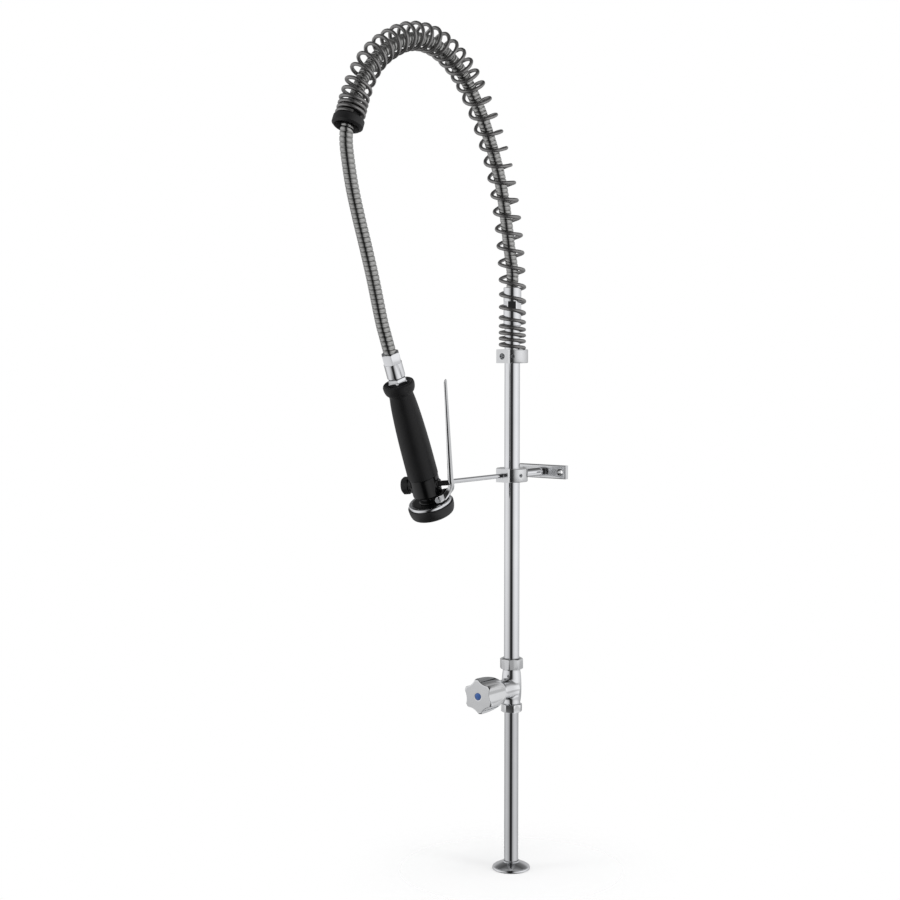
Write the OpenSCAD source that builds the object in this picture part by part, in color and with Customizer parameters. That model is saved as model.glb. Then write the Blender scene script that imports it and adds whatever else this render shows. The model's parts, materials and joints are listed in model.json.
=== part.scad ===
// Pre rinse faucet: a deck-standing riser with a stop valve, braced to the wall, that carries a
// spring-supported metal hose over an arch to a hand spray gun.
// Millimetres. The origin is the centre of the deck flange's underside, on the riser's axis.
// +Z is up, -Y is the front where the gun hangs, and the wall is on the +Y side.

/* [Column] */
// Outer diameter of the upper riser tube
riser_d = 20; // [19:0.5:21]
// Outer diameter of the lower riser tube
lower_riser_d = 18.5; // [18:0.5:19]
// Wall of both riser tubes
tube_wall = 1.5; // [1:0.1:2]
// Diameter of the deck flange
flange_d = 50; // [44:1:60]
// Height of the deck flange
flange_h = 12; // [10:1:16]
// Height of the valve's branch axis above the deck
valve_height = 242; // [200:1:300]
// Height of the bracket ring's middle
bracket_height = 522; // [480:1:560]
// Height of the spring collar's middle
collar_height = 676; // [640:1:700]

/* [Valve] */
// Width across flats of the upper nut
upper_nut_af = 28.5; // [27:0.5:31]
// Height of the upper nut
upper_nut_h = 15; // [13:0.5:18]
// Width across flats of the lower nut
lower_nut_af = 26; // [25.5:0.5:29]
// Height of the lower nut
lower_nut_h = 12; // [11:0.5:15]
// Distance from the branch axis to the lower nut's bottom
lower_reach = 32.5; // [32:0.5:38]
// Distance from the branch axis to the upper nut's top
upper_reach = 40; // [38:1:44]
// Diameter of the valve body where the branch leaves it
body_d = 26; // [25:0.5:30]
// Distance from the riser's axis to the branch's end face
branch_reach = 30; // [30:0.5:34]
// Bore of the valve seat
seat_bore = 9; // [7:0.5:10]
// Travel of the piston from shut to open
piston_travel = 3; // [2:0.1:3]

/* [Handle] */
// Distance from the riser's axis to the handle's face
handle_reach = 75; // [74:1:80]
// Diameter over the tips of the star
handle_tip_d = 46; // [42:1:52]
// Diameter of the handle's back edge
handle_back_d = 30; // [29:0.5:32]
// Number of lobes on the star
handle_lobes = 6; // [5:1:8]
// Diameter of the blue index button
index_d = 9; // [7:0.5:11]

/* [Wall bracket] */
// Outer diameter of the bracket ring and of the spring collar
ring_d = 41; // [38:0.5:44]
// Height of both rings
ring_h = 17.5; // [14:0.5:20]
// Width of the flat block on the front of each ring
block_w = 18.5; // [16:0.5:20]
// Distance from the riser's axis to the block's face
block_reach = 22.8; // [22:0.2:25]
// Diameter of the bracket arm
arm_d = 11; // [9:0.5:13]
// Distance from the riser's axis to the wall
wall_distance = 75.5; // [60:0.5:100]
// Width of the wall plate
plate_w = 75; // [70:1:85]
// Height of the wall plate
plate_h = 18; // [16:0.5:22]
// Thickness of the wall plate
plate_t = 6.5; // [5:0.5:9]
// Distance between the two wall screw holes
screw_spacing = 58; // [52:1:62]
// Diameter of a wall screw hole
screw_hole_d = 5.5; // [4:0.5:6]
// Diameter of the countersink on a wall screw hole
countersink_d = 9.6; // [8:0.2:11]
// Diameter of the hook rod
rod_d = 6; // [5:0.5:7]
// Distance from the riser's axis to the hook's upright
rod_reach = 134; // [120:1:136]
// Height of the hook's tip over the rod's axis
hook_lift = 14; // [10:1:18]

/* [Spring and hose] */
// Mean diameter of the spring's curls
spring_mean_d = 31; // [30:0.2:33]
// Diameter of the spring's wire
wire_d = 4.6; // [4:0.1:4.8]
// Distance between two curls on the rising stretch
rise_pitch = 22.3; // [21:0.1:23]
// Number of curls over the arch, past the rising stretch
arch_curls = 16; // [14:1:18]
// Outer diameter of the hose
hose_d = 15.5; // [14:0.5:16]
// Bore of the hose
hose_bore = 11.4; // [11:0.1:12]
// Number of ribs on the hose
hose_ribs = 130; // [80:1:130]
// Diameter of the hose union
union_d = 23; // [22.5:0.1:23.4]
// Length of the hose union
union_len = 50; // [46:1:54]
// Distance from the spring's foot to the top of the hose union
union_rise = 80; // [76:1:82]
// Outer diameter of the spring's end cap
cap_d = 37; // [36:0.5:40]
// Length of the end cap's visible band
cap_len = 11; // [8:0.5:13]

/* [Spray gun] */
// Lean of the gun from upright, in degrees
gun_tilt = 23; // [21:0.5:25]
// Turn of the lever about the gun's axis, in degrees
lever_azimuth = 14; // [0:1:30]
// Largest diameter of the rubber bumper
bumper_d = 57; // [54:1:64]
// Height of the rubber bumper
bumper_h = 14; // [12:0.5:16]
// Thickness of the chrome head ring's rim
rim_h = 4; // [3:0.5:5]
// Diameter of the chrome head ring's rim
rim_d = 53.6; // [51:0.2:56]
// Diameter of the spray plate
spray_plate_d = 42; // [40:0.5:43]
// Diameter of one spray hole
spray_hole_d = 1.6; // [1:0.1:2]
// Length of the neck between head ring and gun body
neck_len = 8.9; // [8.7:0.2:12]
// Diameter of the neck
neck_d = 24; // [23:0.5:25]
// Diameter of the gun body
gun_body_d = 36.5; // [35:0.5:38]
// Length of the gun body
gun_body_len = 25.5; // [24:0.5:30]
// Length of the rubber grip
grip_len = 124; // [116:1:130]
// Diameter of the grip at its foot
grip_foot_d = 37.6; // [36:0.2:40]
// Diameter of the grip at its waist
grip_waist_d = 29.4; // [28:0.2:34]
// Diameter of the grip's bulb
bulb_d = 38.6; // [37:0.2:42]
// Diameter of the gun's hose nut
hose_nut_d = 22; // [21:0.5:24]
// Length of the gun's hose nut
hose_nut_len = 31.5; // [28:0.5:34]
// Height of the plunger's axis above the foot of the gun body
plunger_rise = 13.5; // [12.5:0.5:14]
// Diameter of the plunger's stem
stem_d = 6.4; // [5.5:0.1:6.8]
// Width across flats of the valve cap
valve_cap_af = 19; // [18:0.5:20]
// Length of the valve cap's hexagon
valve_cap_len = 9.5; // [8:0.5:12]

/* [Lever] */
// Length of the lever's bar from the yoke to the tip
bar_len = 132; // [110:1:140]
// Outward lean of the bar, as run over rise
bar_lean = 0.205; // [0.17:0.005:0.24]
// Thickness of the bar at the yoke
bar_foot_t = 4.7; // [4:0.1:5.2]
// Thickness of the bar at its tip
bar_tip_t = 2.4; // [2:0.1:3]
// Width of the bar at the yoke
bar_foot_w = 9; // [8:0.5:12]
// Width of the bar at its tip
bar_tip_w = 5.5; // [4.5:0.5:8]
// Thickness of one cheek of the yoke
cheek_t = 3; // [2.5:0.1:3.4]
// Diameter of the lever pin
pin_d = 4; // [3.5:0.1:5]

/* [Hidden] */

$fn = 64;
eps = 0.5;              // extra length that carries a cut past a face
running_gap = 0.05;     // radial gap of a shaft that turns or slides in its bore
touch_gap = 0.02;       // gap between two faces that only meet when something moves

// Column heights
lower_nut_z = valve_height - lower_reach;
upper_nut_top = valve_height + upper_reach;
socket_depth = 9;       // how far a riser tube enters the valve body
nut_mouth = 3;          // thickness of a nut's outer end, round the tube
olive_h = 6;
olive_wall = 1.1;
thread_wall = 1.75;     // wall of the body's threaded end round a tube
lower_thread_d = lower_riser_d + 2 * thread_wall;
upper_thread_d = riser_d + 2 * thread_wall;
body_bottom = lower_nut_z + nut_mouth + olive_h / 2;
body_top = upper_nut_top - nut_mouth - olive_h / 2;
collar_top = collar_height + ring_h / 2;
union_top = collar_top + union_rise;
union_bottom = union_top - union_len;
union_thread = 15;      // how far the union screws down over the riser
washer_t = 2;
riser_top = union_bottom + union_thread;

// Valve, measured from the riser's axis toward the front
seat_reach = 5;
washer_h = 4;           // thickness of the rubber valve washer
washer_d = 12;
piston_head_d = 15;
piston_shank_d = 11;
chamber_d = 16;
bonnet_thread_d = 18;
bonnet_start = 16;
gasket_t = 1;
bonnet_af = 20;
bonnet_hex_h = 5;
bonnet_neck_d = 14;
bonnet_end = branch_reach + 20;
spindle_d = 8;
spindle_screw_d = 6;
screw_len = 14;         // length of the screw that drives the piston
thrust_h = 2;           // length of the spindle's thrust collar
thrust_z = branch_reach - 1.5;
clip_h = 1;
clip_groove_d = 6.8;
oring_t = 1.2;
groove_depth = 9;       // O-ring groove, below the bonnet's end
spline_start = bonnet_end + 4;
spline_end = handle_reach - 9;
spline_af = 6.6;
screw_head_h = 3;
screw_head_d = 7.6;
handle_gap = 1.5;       // gap between the branch and the handle's back edge
skirt_bore = 25.4;
skirt_end = spline_start;
index_h = 3;

// Rings and hook
ring_thread_d = 8;      // the tapped hole in each ring's front block
tenon_len = 8;
set_screw_d = 5;
arm_collar_d = 13;
arm_collar_len = 8;
hook_bend = 6;

// Gun heights along its own axis, from the spray face up
rim_bottom = bumper_h;
head_top = rim_bottom + rim_h;
body_z = head_top + neck_len;
grip_z = body_z + gun_body_len;
grip_top = grip_z + grip_len;
dish_depth = 3.5;       // how far the grip's top is hollowed round its collar
grip_collar_h = 10;
nut_z = grip_top - dish_depth + grip_collar_h + 0.5;
gun_len = nut_z + hose_nut_len;
plunger_z = body_z + plunger_rise;
lug_rise = 3.5;         // lever pin's depth below the foot of the gun body
pivot_z = body_z - lug_rise;
pivot_r = 17;
gun_tube_d = 22;
neck_depth = 7;         // how far the gun body screws into the head ring
neck_thread_d = neck_d - 4;
head_washer_t = 2;
head_bore = 14;
bulb_floor = dish_depth + 3;     // rubber over the end of the gun's tube, and the dish above it
stem_depth = bulb_floor + 14;    // the swivel stem screws 14 mm into the tube
swivel_d = 13.9;
swivel_head_d = 17.8;
swivel_head_h = 3;
swivel_bore = 9;
stem_groove_z = 6;      // O-ring groove, above the hose nut's bottom
tail_h = 4;             // thickness of a hose tail's plug
tail_len = 16;          // length of the nipple inside the hose
tail_gap = 0.55;        // gap between the nipple and the hose's bore

// Route of the spring's axis: [toward the front, up] from the spring's foot on the riser
spring_route = [[0, 0], [0, 40], [0, 83], [5, 131], [14, 178], [27, 223], [47.5, 266], [74, 308],
    [112, 348], [162, 372], [214, 373], [264, 352], [296, 324], [313.5, 294], [319, 280], [325, 266]];
// Route of the hose's axis from the top of its union, in the same frame
hose_route = [[0, 80], [0, 90], [0, 99], [2, 110], [7, 130], [17, 177], [30, 221], [50.5, 264], [77, 306],
    [114, 345], [163, 369], [213, 370], [262, 350], [294, 322], [312.5, 293.5], [318.5, 280], [325, 266],
    [329, 255], [330.5, 240], [327.5, 220], [320, 188], [308.5, 154], [295, 118], [283, 84], [271, 46],
    [266, 31], [262.5, 22.75], [259, 14.5], [255.5, 6.25], [252, -2]];
foot_pitches = [8.5, 7.5, 7.5, 9.5, 12, 15, 18, 21];
rise_curls = 11;
tip_pitches = [12, 8, 6.4, 6, 6];
rings_per_curl = 8;
wire_sides = 6;
hose_sides = 8;

// ---- routes -------------------------------------------------------------------------------

// A point on the smooth curve through four neighbours, at fraction t between the middle two
function curve_point(a, b, c, d, t) = 0.5 * (2 * b + (c - a) * t
    + (2 * a - 5 * b + 4 * c - d) * t * t + (3 * b - a - 3 * c + d) * t * t * t);
function curve(pts, steps) = let (last = len(pts) - 1) concat(
    [for (i = [0 : last - 1], k = [0 : steps - 1])
        curve_point(i == 0 ? 2 * pts[0] - pts[1] : pts[i - 1], pts[i], pts[i + 1],
            i + 1 == last ? 2 * pts[last] - pts[last - 1] : pts[i + 2], k / steps)],
    [pts[last]]);
// Running length along a list of points
function lengths(p) = [for (i = 0, s = 0; i < len(p);
    i = i + 1, s = s + (i < len(p) ? norm(p[i] - p[i - 1]) : 0)) s];
function table(s, p, k) = [for (i = [0 : len(p) - 1]) [s[i], p[i][k]]];
function sum(v, n) = n <= 0 ? 0 : v[n - 1] + sum(v, n - 1);

// A route lies in the plane of the arch; its front coordinate becomes -Y
function to_space(p) = [0, -p[0], collar_top + p[1]];

spring_curve = curve(spring_route, 8);
spring_s = lengths(spring_curve);
spring_len = spring_s[len(spring_s) - 1];
spring_front = table(spring_s, spring_curve, 0);
spring_up = table(spring_s, spring_curve, 1);
function spring_at(s) = [lookup(s, spring_front), lookup(s, spring_up)];
function heading(f, u, s) = let (d = [lookup(s + 2, f) - lookup(s - 2, f),
    lookup(s + 2, u) - lookup(s - 2, u)]) d / norm(d);

foot_len = sum(foot_pitches, len(foot_pitches));
tip_len = sum(tip_pitches, len(tip_pitches));
arch_pitch = (spring_len - wire_d - foot_len - rise_curls * rise_pitch - tip_len) / arch_curls;
pitches = concat(foot_pitches, [for (i = [1 : rise_curls]) rise_pitch],
    [for (i = [1 : arch_curls]) arch_pitch], tip_pitches);
curls = len(pitches);
wire_foot = wire_d / 2 * cos(180 / wire_sides);  // the first curl rests on the collar
// Distance along the route at each whole curl
curl_s = [for (i = [0 : curls]) [i, wire_foot + sum(pitches, i)]];
start_angle = 53;       // where round the riser the wire's lower end lies
function wire_axis(t) = let (
    s = lookup(t, curl_s),
    d = heading(spring_front, spring_up, s),
    out = [0, d[1], d[0]],
    a = start_angle + 360 * t)
    to_space(spring_at(s)) + spring_mean_d / 2 * (cos(a) * out + sin(a) * [1, 0, 0]);
wire_points = [for (k = [0 : curls * rings_per_curl]) wire_axis(k / rings_per_curl)];

hose_curve = curve(hose_route, 8);
hose_s = lengths(hose_curve);
hose_len = hose_s[len(hose_s) - 1];
hose_front = table(hose_s, hose_curve, 0);
hose_up = table(hose_s, hose_curve, 1);
function hose_at(s) = [lookup(s, hose_front), lookup(s, hose_up)];

// Distance from a point to a straight piece between two others
function to_piece(p, a, b) = let (t = min(1, max(0, (p - a) * (b - a) / ((b - a) * (b - a)))))
    norm(p - a - t * (b - a));
self_gap = min([for (i = [0 : len(wire_points) - rings_per_curl - 3],
    j = [rings_per_curl - 2 : rings_per_curl + 1])
    to_piece(wire_points[i], wire_points[i + j], wire_points[i + j + 1])]) - wire_d;
echo(spring_curls = curls, arch_pitch = arch_pitch, spring_len = spring_len,
    spring_gap_to_itself = self_gap, hose_len = hose_len, gun_len = gun_len);

// Rings of points about an axis point: sides, radius, tangent and a side direction
function ring_points(c, tangent, side, r, sides) = let (
    n = side / norm(side),
    m = cross(tangent, n) / norm(cross(tangent, n)))
    [for (k = [0 : sides - 1]) c + r * (cos(360 * k / sides) * n + sin(360 * k / sides) * m)];

// A closed skin over rings that all have as many points; a looped skin joins its last ring to its first
module skin(rings, looped) {
    sides = len(rings[0]);
    count = len(rings);
    links = looped ? count : count - 1;
    walls = [for (i = [0 : links - 1], k = [0 : sides - 1])
        let (a = i * sides + k, b = i * sides + (k + 1) % sides,
            c = ((i + 1) % count) * sides + k, d = ((i + 1) % count) * sides + (k + 1) % sides)
        each [[a, b, d], [a, d, c]]];
    top = (count - 1) * sides;
    ends = looped ? [] : concat([for (k = [1 : sides - 2]) [0, k + 1, k]],
        [for (k = [1 : sides - 2]) [top, top + k, top + k + 1]]);
    polyhedron(points = [for (r = rings, p = r) p],
        faces = [for (w = concat(walls, ends)) [w[2], w[1], w[0]]]);
}

// ---- shared shapes ------------------------------------------------------------------------

module ring(outer, inner, h) {
    difference() {
        cylinder(d = outer, h = h);
        translate([0, 0, -eps]) cylinder(d = inner, h = h + 2 * eps);
    }
}

// Spanner flats round an axis, with the corners turned off at both ends
module flats(af, h, low = 1, high = 1, sides = 6) {
    corner = af / cos(180 / sides) / 2;
    intersection() {
        rotate(180 / sides) cylinder(r = corner, h = h, $fn = sides);
        rotate_extrude() polygon([[0, 0], [corner - 2 * low, 0], [corner + 1, low + 0.5],
            [corner + 1, h - high - 0.5], [corner - 2 * high, h], [0, h]]);
    }
}
module hexagon(af, h, chamfer = 1) flats(af, h, chamfer, chamfer);

// Compression nut: mouth round the tube at z = 0, cone for the olive, then the thread
module compression_nut(af, h, tube, thread, turn = 0) {
    difference() {
        rotate(turn) flats(af, h, 1.8, 1.2, 8);
        translate([0, 0, -eps]) cylinder(d = tube + 0.4, h = h + eps);
        translate([0, 0, nut_mouth]) cylinder(d1 = tube, d2 = tube + 2 * olive_wall, h = olive_h / 2);
        translate([0, 0, nut_mouth + olive_h / 2]) cylinder(d = thread, h = h);
    }
}

// Olive: a ring with a cone on each side
module olive(tube) {
    rotate_extrude() translate([tube / 2, 0]) polygon([[0, 0], [olive_wall, olive_h / 2], [0, olive_h]]);
}

// The riser ring: a round ring with a flat-faced block in front, tapped through the block
module riser_ring(height) {
    edge = 0.7;
    translate([0, 0, height - ring_h / 2]) difference() {
        union() {
            rotate_extrude() polygon([[0, 0], [ring_d / 2 - edge, 0], [ring_d / 2, edge],
                [ring_d / 2, ring_h - edge], [ring_d / 2 - edge, ring_h], [0, ring_h]]);
            translate([-block_w / 2, -block_reach, 0]) cube([block_w, block_reach, ring_h]);
        }
        translate([0, 0, -eps]) cylinder(d = riser_d, h = ring_h + 2 * eps);
        translate([0, 0, ring_h / 2]) rotate([90, 0, 0]) cylinder(d = ring_thread_d, h = ring_d);
    }
}

// A socket set screw; its point is at the origin and it runs out along +Z
module set_screw(length) {
    difference() {
        cylinder(d = set_screw_d, h = length);
        translate([0, 0, length - 2.4]) cylinder(d = 2.9, h = 3, $fn = 6);
    }
}

module front_axis(height) {
    translate([0, 0, height]) rotate([90, 0, 0]) children();
}

// Turns about the riser from the front toward +X; +Z of the child points outward
module round_riser(angle, height) {
    translate([0, 0, height]) rotate([0, 0, angle]) rotate([90, 0, 0]) children();
}

hose_end = hose_route[len(hose_route) - 1];
gun_axis = [sin(gun_tilt), cos(gun_tilt)];
module gun_frame() {
    translate(to_space(hose_end - gun_len * gun_axis)) rotate([gun_tilt, 0, 0]) children();
}

// +Z of the child points outward on the lever's side, along the plunger
module plunger_frame() {
    gun_frame() translate([0, 0, plunger_z]) rotate([0, 0, lever_azimuth]) rotate([0, 90, 0]) children();
}

// A flat outline in [distance from the gun's axis, height] given a width across the lever's plane
module lever_plate(width, shift = 0) {
    gun_frame() rotate([0, 0, lever_azimuth]) translate([0, shift, 0]) rotate([90, 0, 0])
        linear_extrude(width, center = true) children();
}

// ---- column -------------------------------------------------------------------------------

module deck_flange() color([0.80, 0.81, 0.82]) {
    boss_r = lower_riser_d / 2 + 3;
    difference() {
        rotate_extrude() polygon([[0, 0], [flange_d / 2 - 0.5, 0], [flange_d / 2, 0.5], [flange_d / 2, 2],
            [flange_d / 2 - 1, 3], for (a = [0 : 15 : 90])
                [boss_r + (flange_d / 2 - 1 - boss_r) * cos(a), 3 + (flange_h - 3) * sin(a) * sin(a)],
            [boss_r, flange_h], [0, flange_h]]);
        translate([0, 0, -eps]) cylinder(d = lower_riser_d, h = flange_h + 2 * eps);
        translate([0, 0, -eps]) ring(flange_d - 6, lower_riser_d + 6, 1.5 + eps);
    }
}

module flange_gasket() color([0.12, 0.12, 0.12]) ring(flange_d - 6, lower_riser_d + 6, 1.5);

module lower_riser() color([0.80, 0.81, 0.82])
    ring(lower_riser_d, lower_riser_d - 2 * tube_wall, body_bottom + socket_depth);

module upper_riser() color([0.80, 0.81, 0.82]) translate([0, 0, body_top - socket_depth])
    ring(riser_d, riser_d - 2 * tube_wall, riser_top - body_top + socket_depth);

module lower_nut() color([0.78, 0.79, 0.80]) translate([0, 0, lower_nut_z])
    compression_nut(lower_nut_af, lower_nut_h, lower_riser_d, lower_thread_d, -20);

module upper_nut() color([0.78, 0.79, 0.80]) translate([0, 0, upper_nut_top]) mirror([0, 0, 1])
    compression_nut(upper_nut_af, upper_nut_h, riser_d, upper_thread_d);

module lower_olive() color([0.80, 0.65, 0.30]) translate([0, 0, lower_nut_z + nut_mouth])
    olive(lower_riser_d);

module upper_olive() color([0.80, 0.65, 0.30]) translate([0, 0, upper_nut_top - nut_mouth - olive_h])
    olive(riser_d);

// ---- valve --------------------------------------------------------------------------------

// A tube socket in the body's end, with the cone that takes half of the olive
module tube_socket(tube) {
    translate([0, 0, -eps]) cylinder(d = tube, h = socket_depth + eps);
    cylinder(d1 = tube + 2 * olive_wall, d2 = tube, h = olive_h / 2);
}

module valve_body() color([0.80, 0.81, 0.82]) {
    lower_end = lower_nut_z + lower_nut_h;
    upper_start = upper_nut_top - upper_nut_h;
    neck = 10.6;
    bulge = body_d / 2;
    upper_bore = riser_d - 2 * tube_wall;
    lower_bore = lower_riser_d - 2 * tube_wall;
    difference() {
        union() {
            rotate_extrude() polygon([[0, body_bottom], [lower_thread_d / 2, body_bottom],
                [lower_thread_d / 2, lower_end],
                for (a = [-90 : 15 : 90])
                    let (z = a < 0 ? valve_height - lower_end : upper_start - valve_height)
                    [neck + (bulge - neck) * cos(a), valve_height + z * sin(a)],
                [upper_thread_d / 2, upper_start], [upper_thread_d / 2, body_top], [0, body_top]]);
            front_axis(valve_height) rotate_extrude() polygon([[0, 0],
                for (a = [0 : 15 : 90]) [bulge + 3 - 3 * sin(a), 2 + 8 * (1 - cos(a)) + 4 * sin(a)],
                [bulge, branch_reach - 0.6], [bulge - 0.6, branch_reach], [0, branch_reach]]);
        }
        translate([0, 0, body_bottom]) tube_socket(lower_riser_d);
        translate([0, 0, body_top]) mirror([0, 0, 1]) tube_socket(riser_d);
        // the way in runs up behind the seat
        translate([0, 0, body_bottom]) cylinder(d = lower_bore - 3, h = valve_height + 4 - body_bottom);
        // the seat, and the chamber in front of it
        front_axis(valve_height) {
            translate([0, 0, -1]) cylinder(d = seat_bore, h = branch_reach);
            translate([0, 0, seat_reach - 1]) ring(chamber_d, seat_bore + 2, 1 + eps);
            translate([0, 0, seat_reach]) cylinder(d = chamber_d, h = branch_reach);
            translate([0, 0, bonnet_start]) cylinder(d = bonnet_thread_d, h = branch_reach);
        }
        // the way out climbs from the chamber to the upper tube
        translate([0, 0, valve_height + 15]) cylinder(d = upper_bore - 4, h = body_top - valve_height);
        translate([0, -12, valve_height]) rotate([-32, 0, 0]) cylinder(d = 6, h = 21);
    }
}

module bonnet() color([0.75, 0.72, 0.62]) front_axis(valve_height) {
    hex_z = branch_reach + gasket_t;
    difference() {
        union() {
            translate([0, 0, bonnet_start]) cylinder(d = bonnet_thread_d, h = hex_z - bonnet_start + eps);
            translate([0, 0, hex_z]) hexagon(bonnet_af, bonnet_hex_h);
            translate([0, 0, hex_z]) cylinder(d = bonnet_neck_d, h = bonnet_end - hex_z);
        }
        translate([0, 0, -eps]) cylinder(d = spindle_d + 2 * running_gap, h = bonnet_end + 2 * eps);
        translate([0, 0, bonnet_start - eps])
            cylinder(d = piston_shank_d + 2 * running_gap,
                h = thrust_z + thrust_h + touch_gap - bonnet_start + eps);
    }
}

module bonnet_gasket() color([0.65, 0.20, 0.15]) front_axis(valve_height) translate([0, 0, branch_reach])
    ring(bonnet_af + 1, bonnet_thread_d, gasket_t);

module spindle() color([0.80, 0.70, 0.40]) front_axis(valve_height) {
    screw_z = thrust_z - screw_len;
    difference() {
        union() {
            translate([0, 0, screw_z]) cylinder(d = spindle_screw_d, h = thrust_z - screw_z + eps);
            translate([0, 0, thrust_z]) cylinder(d = piston_shank_d, h = thrust_h);
            translate([0, 0, thrust_z]) cylinder(d = spindle_d, h = spline_start - thrust_z);
            intersection() {
                translate([0, 0, spline_start - eps])
                    cylinder(d = spindle_d, h = spline_end - spline_start + eps);
                translate([-spline_af / 2, -spindle_d, spline_start - eps])
                    cube([spline_af, 2 * spindle_d, spline_end - spline_start + eps]);
            }
        }
        translate([0, 0, bonnet_end - groove_depth])
            ring(spindle_d + 2, spindle_d - 2 * oring_t, oring_t + 0.3);
        translate([0, 0, bonnet_end + touch_gap]) ring(spindle_d + 2, clip_groove_d, clip_h);
        translate([0, 0, spline_end - 8]) cylinder(d = 4, h = 8 + eps);
    }
}

module spindle_oring() color([0.10, 0.10, 0.10]) front_axis(valve_height)
    translate([0, 0, bonnet_end - groove_depth + 0.15])
        ring(spindle_d + running_gap, spindle_d - 2 * oring_t, oring_t);

module spindle_clip() color([0.70, 0.71, 0.72]) front_axis(valve_height)
    translate([0, 0, bonnet_end + touch_gap]) difference() {
        ring(11, clip_groove_d, clip_h);
        translate([-2, 0, -eps]) cube([4, 8, clip_h + 2 * eps]);
    }

module valve_piston() color([0.80, 0.70, 0.40]) front_axis(valve_height) {
    cup_z = seat_reach + touch_gap + 1.5;
    floor_z = seat_reach + touch_gap + washer_h;
    end_z = thrust_z - piston_travel - 0.5;
    difference() {
        union() {
            translate([0, 0, cup_z]) cylinder(d = piston_head_d, h = 5.5);
            translate([0, 0, cup_z]) cylinder(d = piston_shank_d, h = end_z - cup_z);
        }
        translate([0, 0, cup_z - eps]) cylinder(d = washer_d, h = floor_z - cup_z + eps);
        translate([0, 0, thrust_z - screw_len - piston_travel - 0.5])
            cylinder(d = spindle_screw_d + 2 * running_gap, h = branch_reach);
    }
}

module valve_washer() color([0.12, 0.12, 0.12]) front_axis(valve_height)
    translate([0, 0, seat_reach + touch_gap]) cylinder(d = washer_d, h = washer_h);

// ---- handle -------------------------------------------------------------------------------

// The handle's round blank: a bell that swells from the back edge to the star
module handle_blank() {
    back = branch_reach + handle_gap;
    depth = handle_reach - back;
    back_r = handle_back_d / 2;
    tip_r = handle_tip_d / 2;
    rotate_extrude() polygon([[0, back], [back_r - 0.8, back], [back_r, back + 0.8],
        for (a = [0 : 9 : 90]) [back_r + (tip_r - back_r) * sin(a),
            back + 3 + (depth - 9) * (1 - cos(a * 0.78)) / (1 - cos(70.2))],
        [tip_r, handle_reach - 3], [tip_r - 0.5, handle_reach - 1.2],
        [tip_r - 2, handle_reach], [0, handle_reach]]);
}

module handle() color([0.82, 0.83, 0.84]) front_axis(valve_height) {
    scoop_r = handle_tip_d * 0.42;
    scoop_depth = handle_tip_d * 0.105;
    difference() {
        handle_blank();
        for (i = [0 : handle_lobes - 1]) rotate(360 * (i + 0.5) / handle_lobes + 97)
            translate([handle_tip_d / 2 - scoop_depth + scoop_r, 0, 0])
                cylinder(r = scoop_r, h = handle_reach + eps);
        cylinder(d = skirt_bore, h = skirt_end);
        intersection() {
            cylinder(d = spindle_d, h = spline_end);
            translate([-spline_af / 2, -spindle_d, 0]) cube([spline_af, 2 * spindle_d, spline_end]);
        }
        cylinder(d = 4.2, h = handle_reach);
        translate([0, 0, spline_end + 1]) cylinder(d = screw_head_d + 0.4, h = handle_reach);
        translate([0, 0, handle_reach - index_h]) cylinder(d = index_d, h = index_h + eps);
    }
}

module handle_screw() color([0.70, 0.71, 0.72]) front_axis(valve_height) difference() {
    union() {
        translate([0, 0, spline_end - 7]) cylinder(d = 4, h = 8 + eps);
        translate([0, 0, spline_end + 1]) cylinder(d = screw_head_d, h = screw_head_h);
    }
    translate([0, 0, spline_end + 1 + screw_head_h - 1.5]) cylinder(d = 3.5, h = 2, $fn = 6);
}

module index_button() color([0.16, 0.35, 0.62]) front_axis(valve_height)
    translate([0, 0, handle_reach - index_h]) rotate_extrude() polygon([[0, 0], [index_d / 2, 0],
        [index_d / 2, index_h], for (a = [15 : 15 : 90]) [index_d / 2 * cos(a), index_h + 0.6 * sin(a)]]);

// ---- brackets -----------------------------------------------------------------------------

bracket_screw_angle = 69;
collar_screw_angle = 37;

module screwed_ring(height, angle) {
    difference() {
        riser_ring(height);
        round_riser(angle, height) translate([0, 0, riser_d / 2 - eps])
            cylinder(d = set_screw_d, h = ring_d);
    }
}

module bracket_ring() color([0.80, 0.81, 0.82]) difference() {
    screwed_ring(bracket_height, bracket_screw_angle);
    round_riser(180, bracket_height) translate([0, 0, ring_d / 2 - tenon_len])
        cylinder(d = ring_thread_d, h = tenon_len + eps);
    // flat seat for the arm's shoulder
    round_riser(180, bracket_height) translate([0, 0, ring_d / 2 - 1]) cylinder(d = arm_d, h = 2);
}

module bracket_set_screw() color([0.25, 0.25, 0.26]) round_riser(bracket_screw_angle, bracket_height)
    translate([0, 0, riser_d / 2]) set_screw(ring_d / 2 - riser_d / 2 - 1.2);

module spring_collar() color([0.80, 0.81, 0.82]) screwed_ring(collar_height, collar_screw_angle);

module collar_set_screw() color([0.60, 0.60, 0.61]) round_riser(collar_screw_angle, collar_height)
    translate([0, 0, riser_d / 2]) set_screw(ring_d / 2 - riser_d / 2 - 0.4);

module bracket_arm() color([0.80, 0.81, 0.82]) round_riser(180, bracket_height) {
    plate_face = wall_distance - plate_t;
    translate([0, 0, ring_d / 2 - tenon_len]) cylinder(d = ring_thread_d, h = tenon_len);
    translate([0, 0, ring_d / 2 - 1]) cylinder(d = arm_d, h = plate_face - ring_d / 2 + 1);
    translate([0, 0, plate_face - arm_collar_len]) cylinder(d = arm_collar_d, h = arm_collar_len);
    translate([0, 0, plate_face - eps]) cylinder(d = ring_thread_d, h = plate_t + eps);
}

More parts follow.
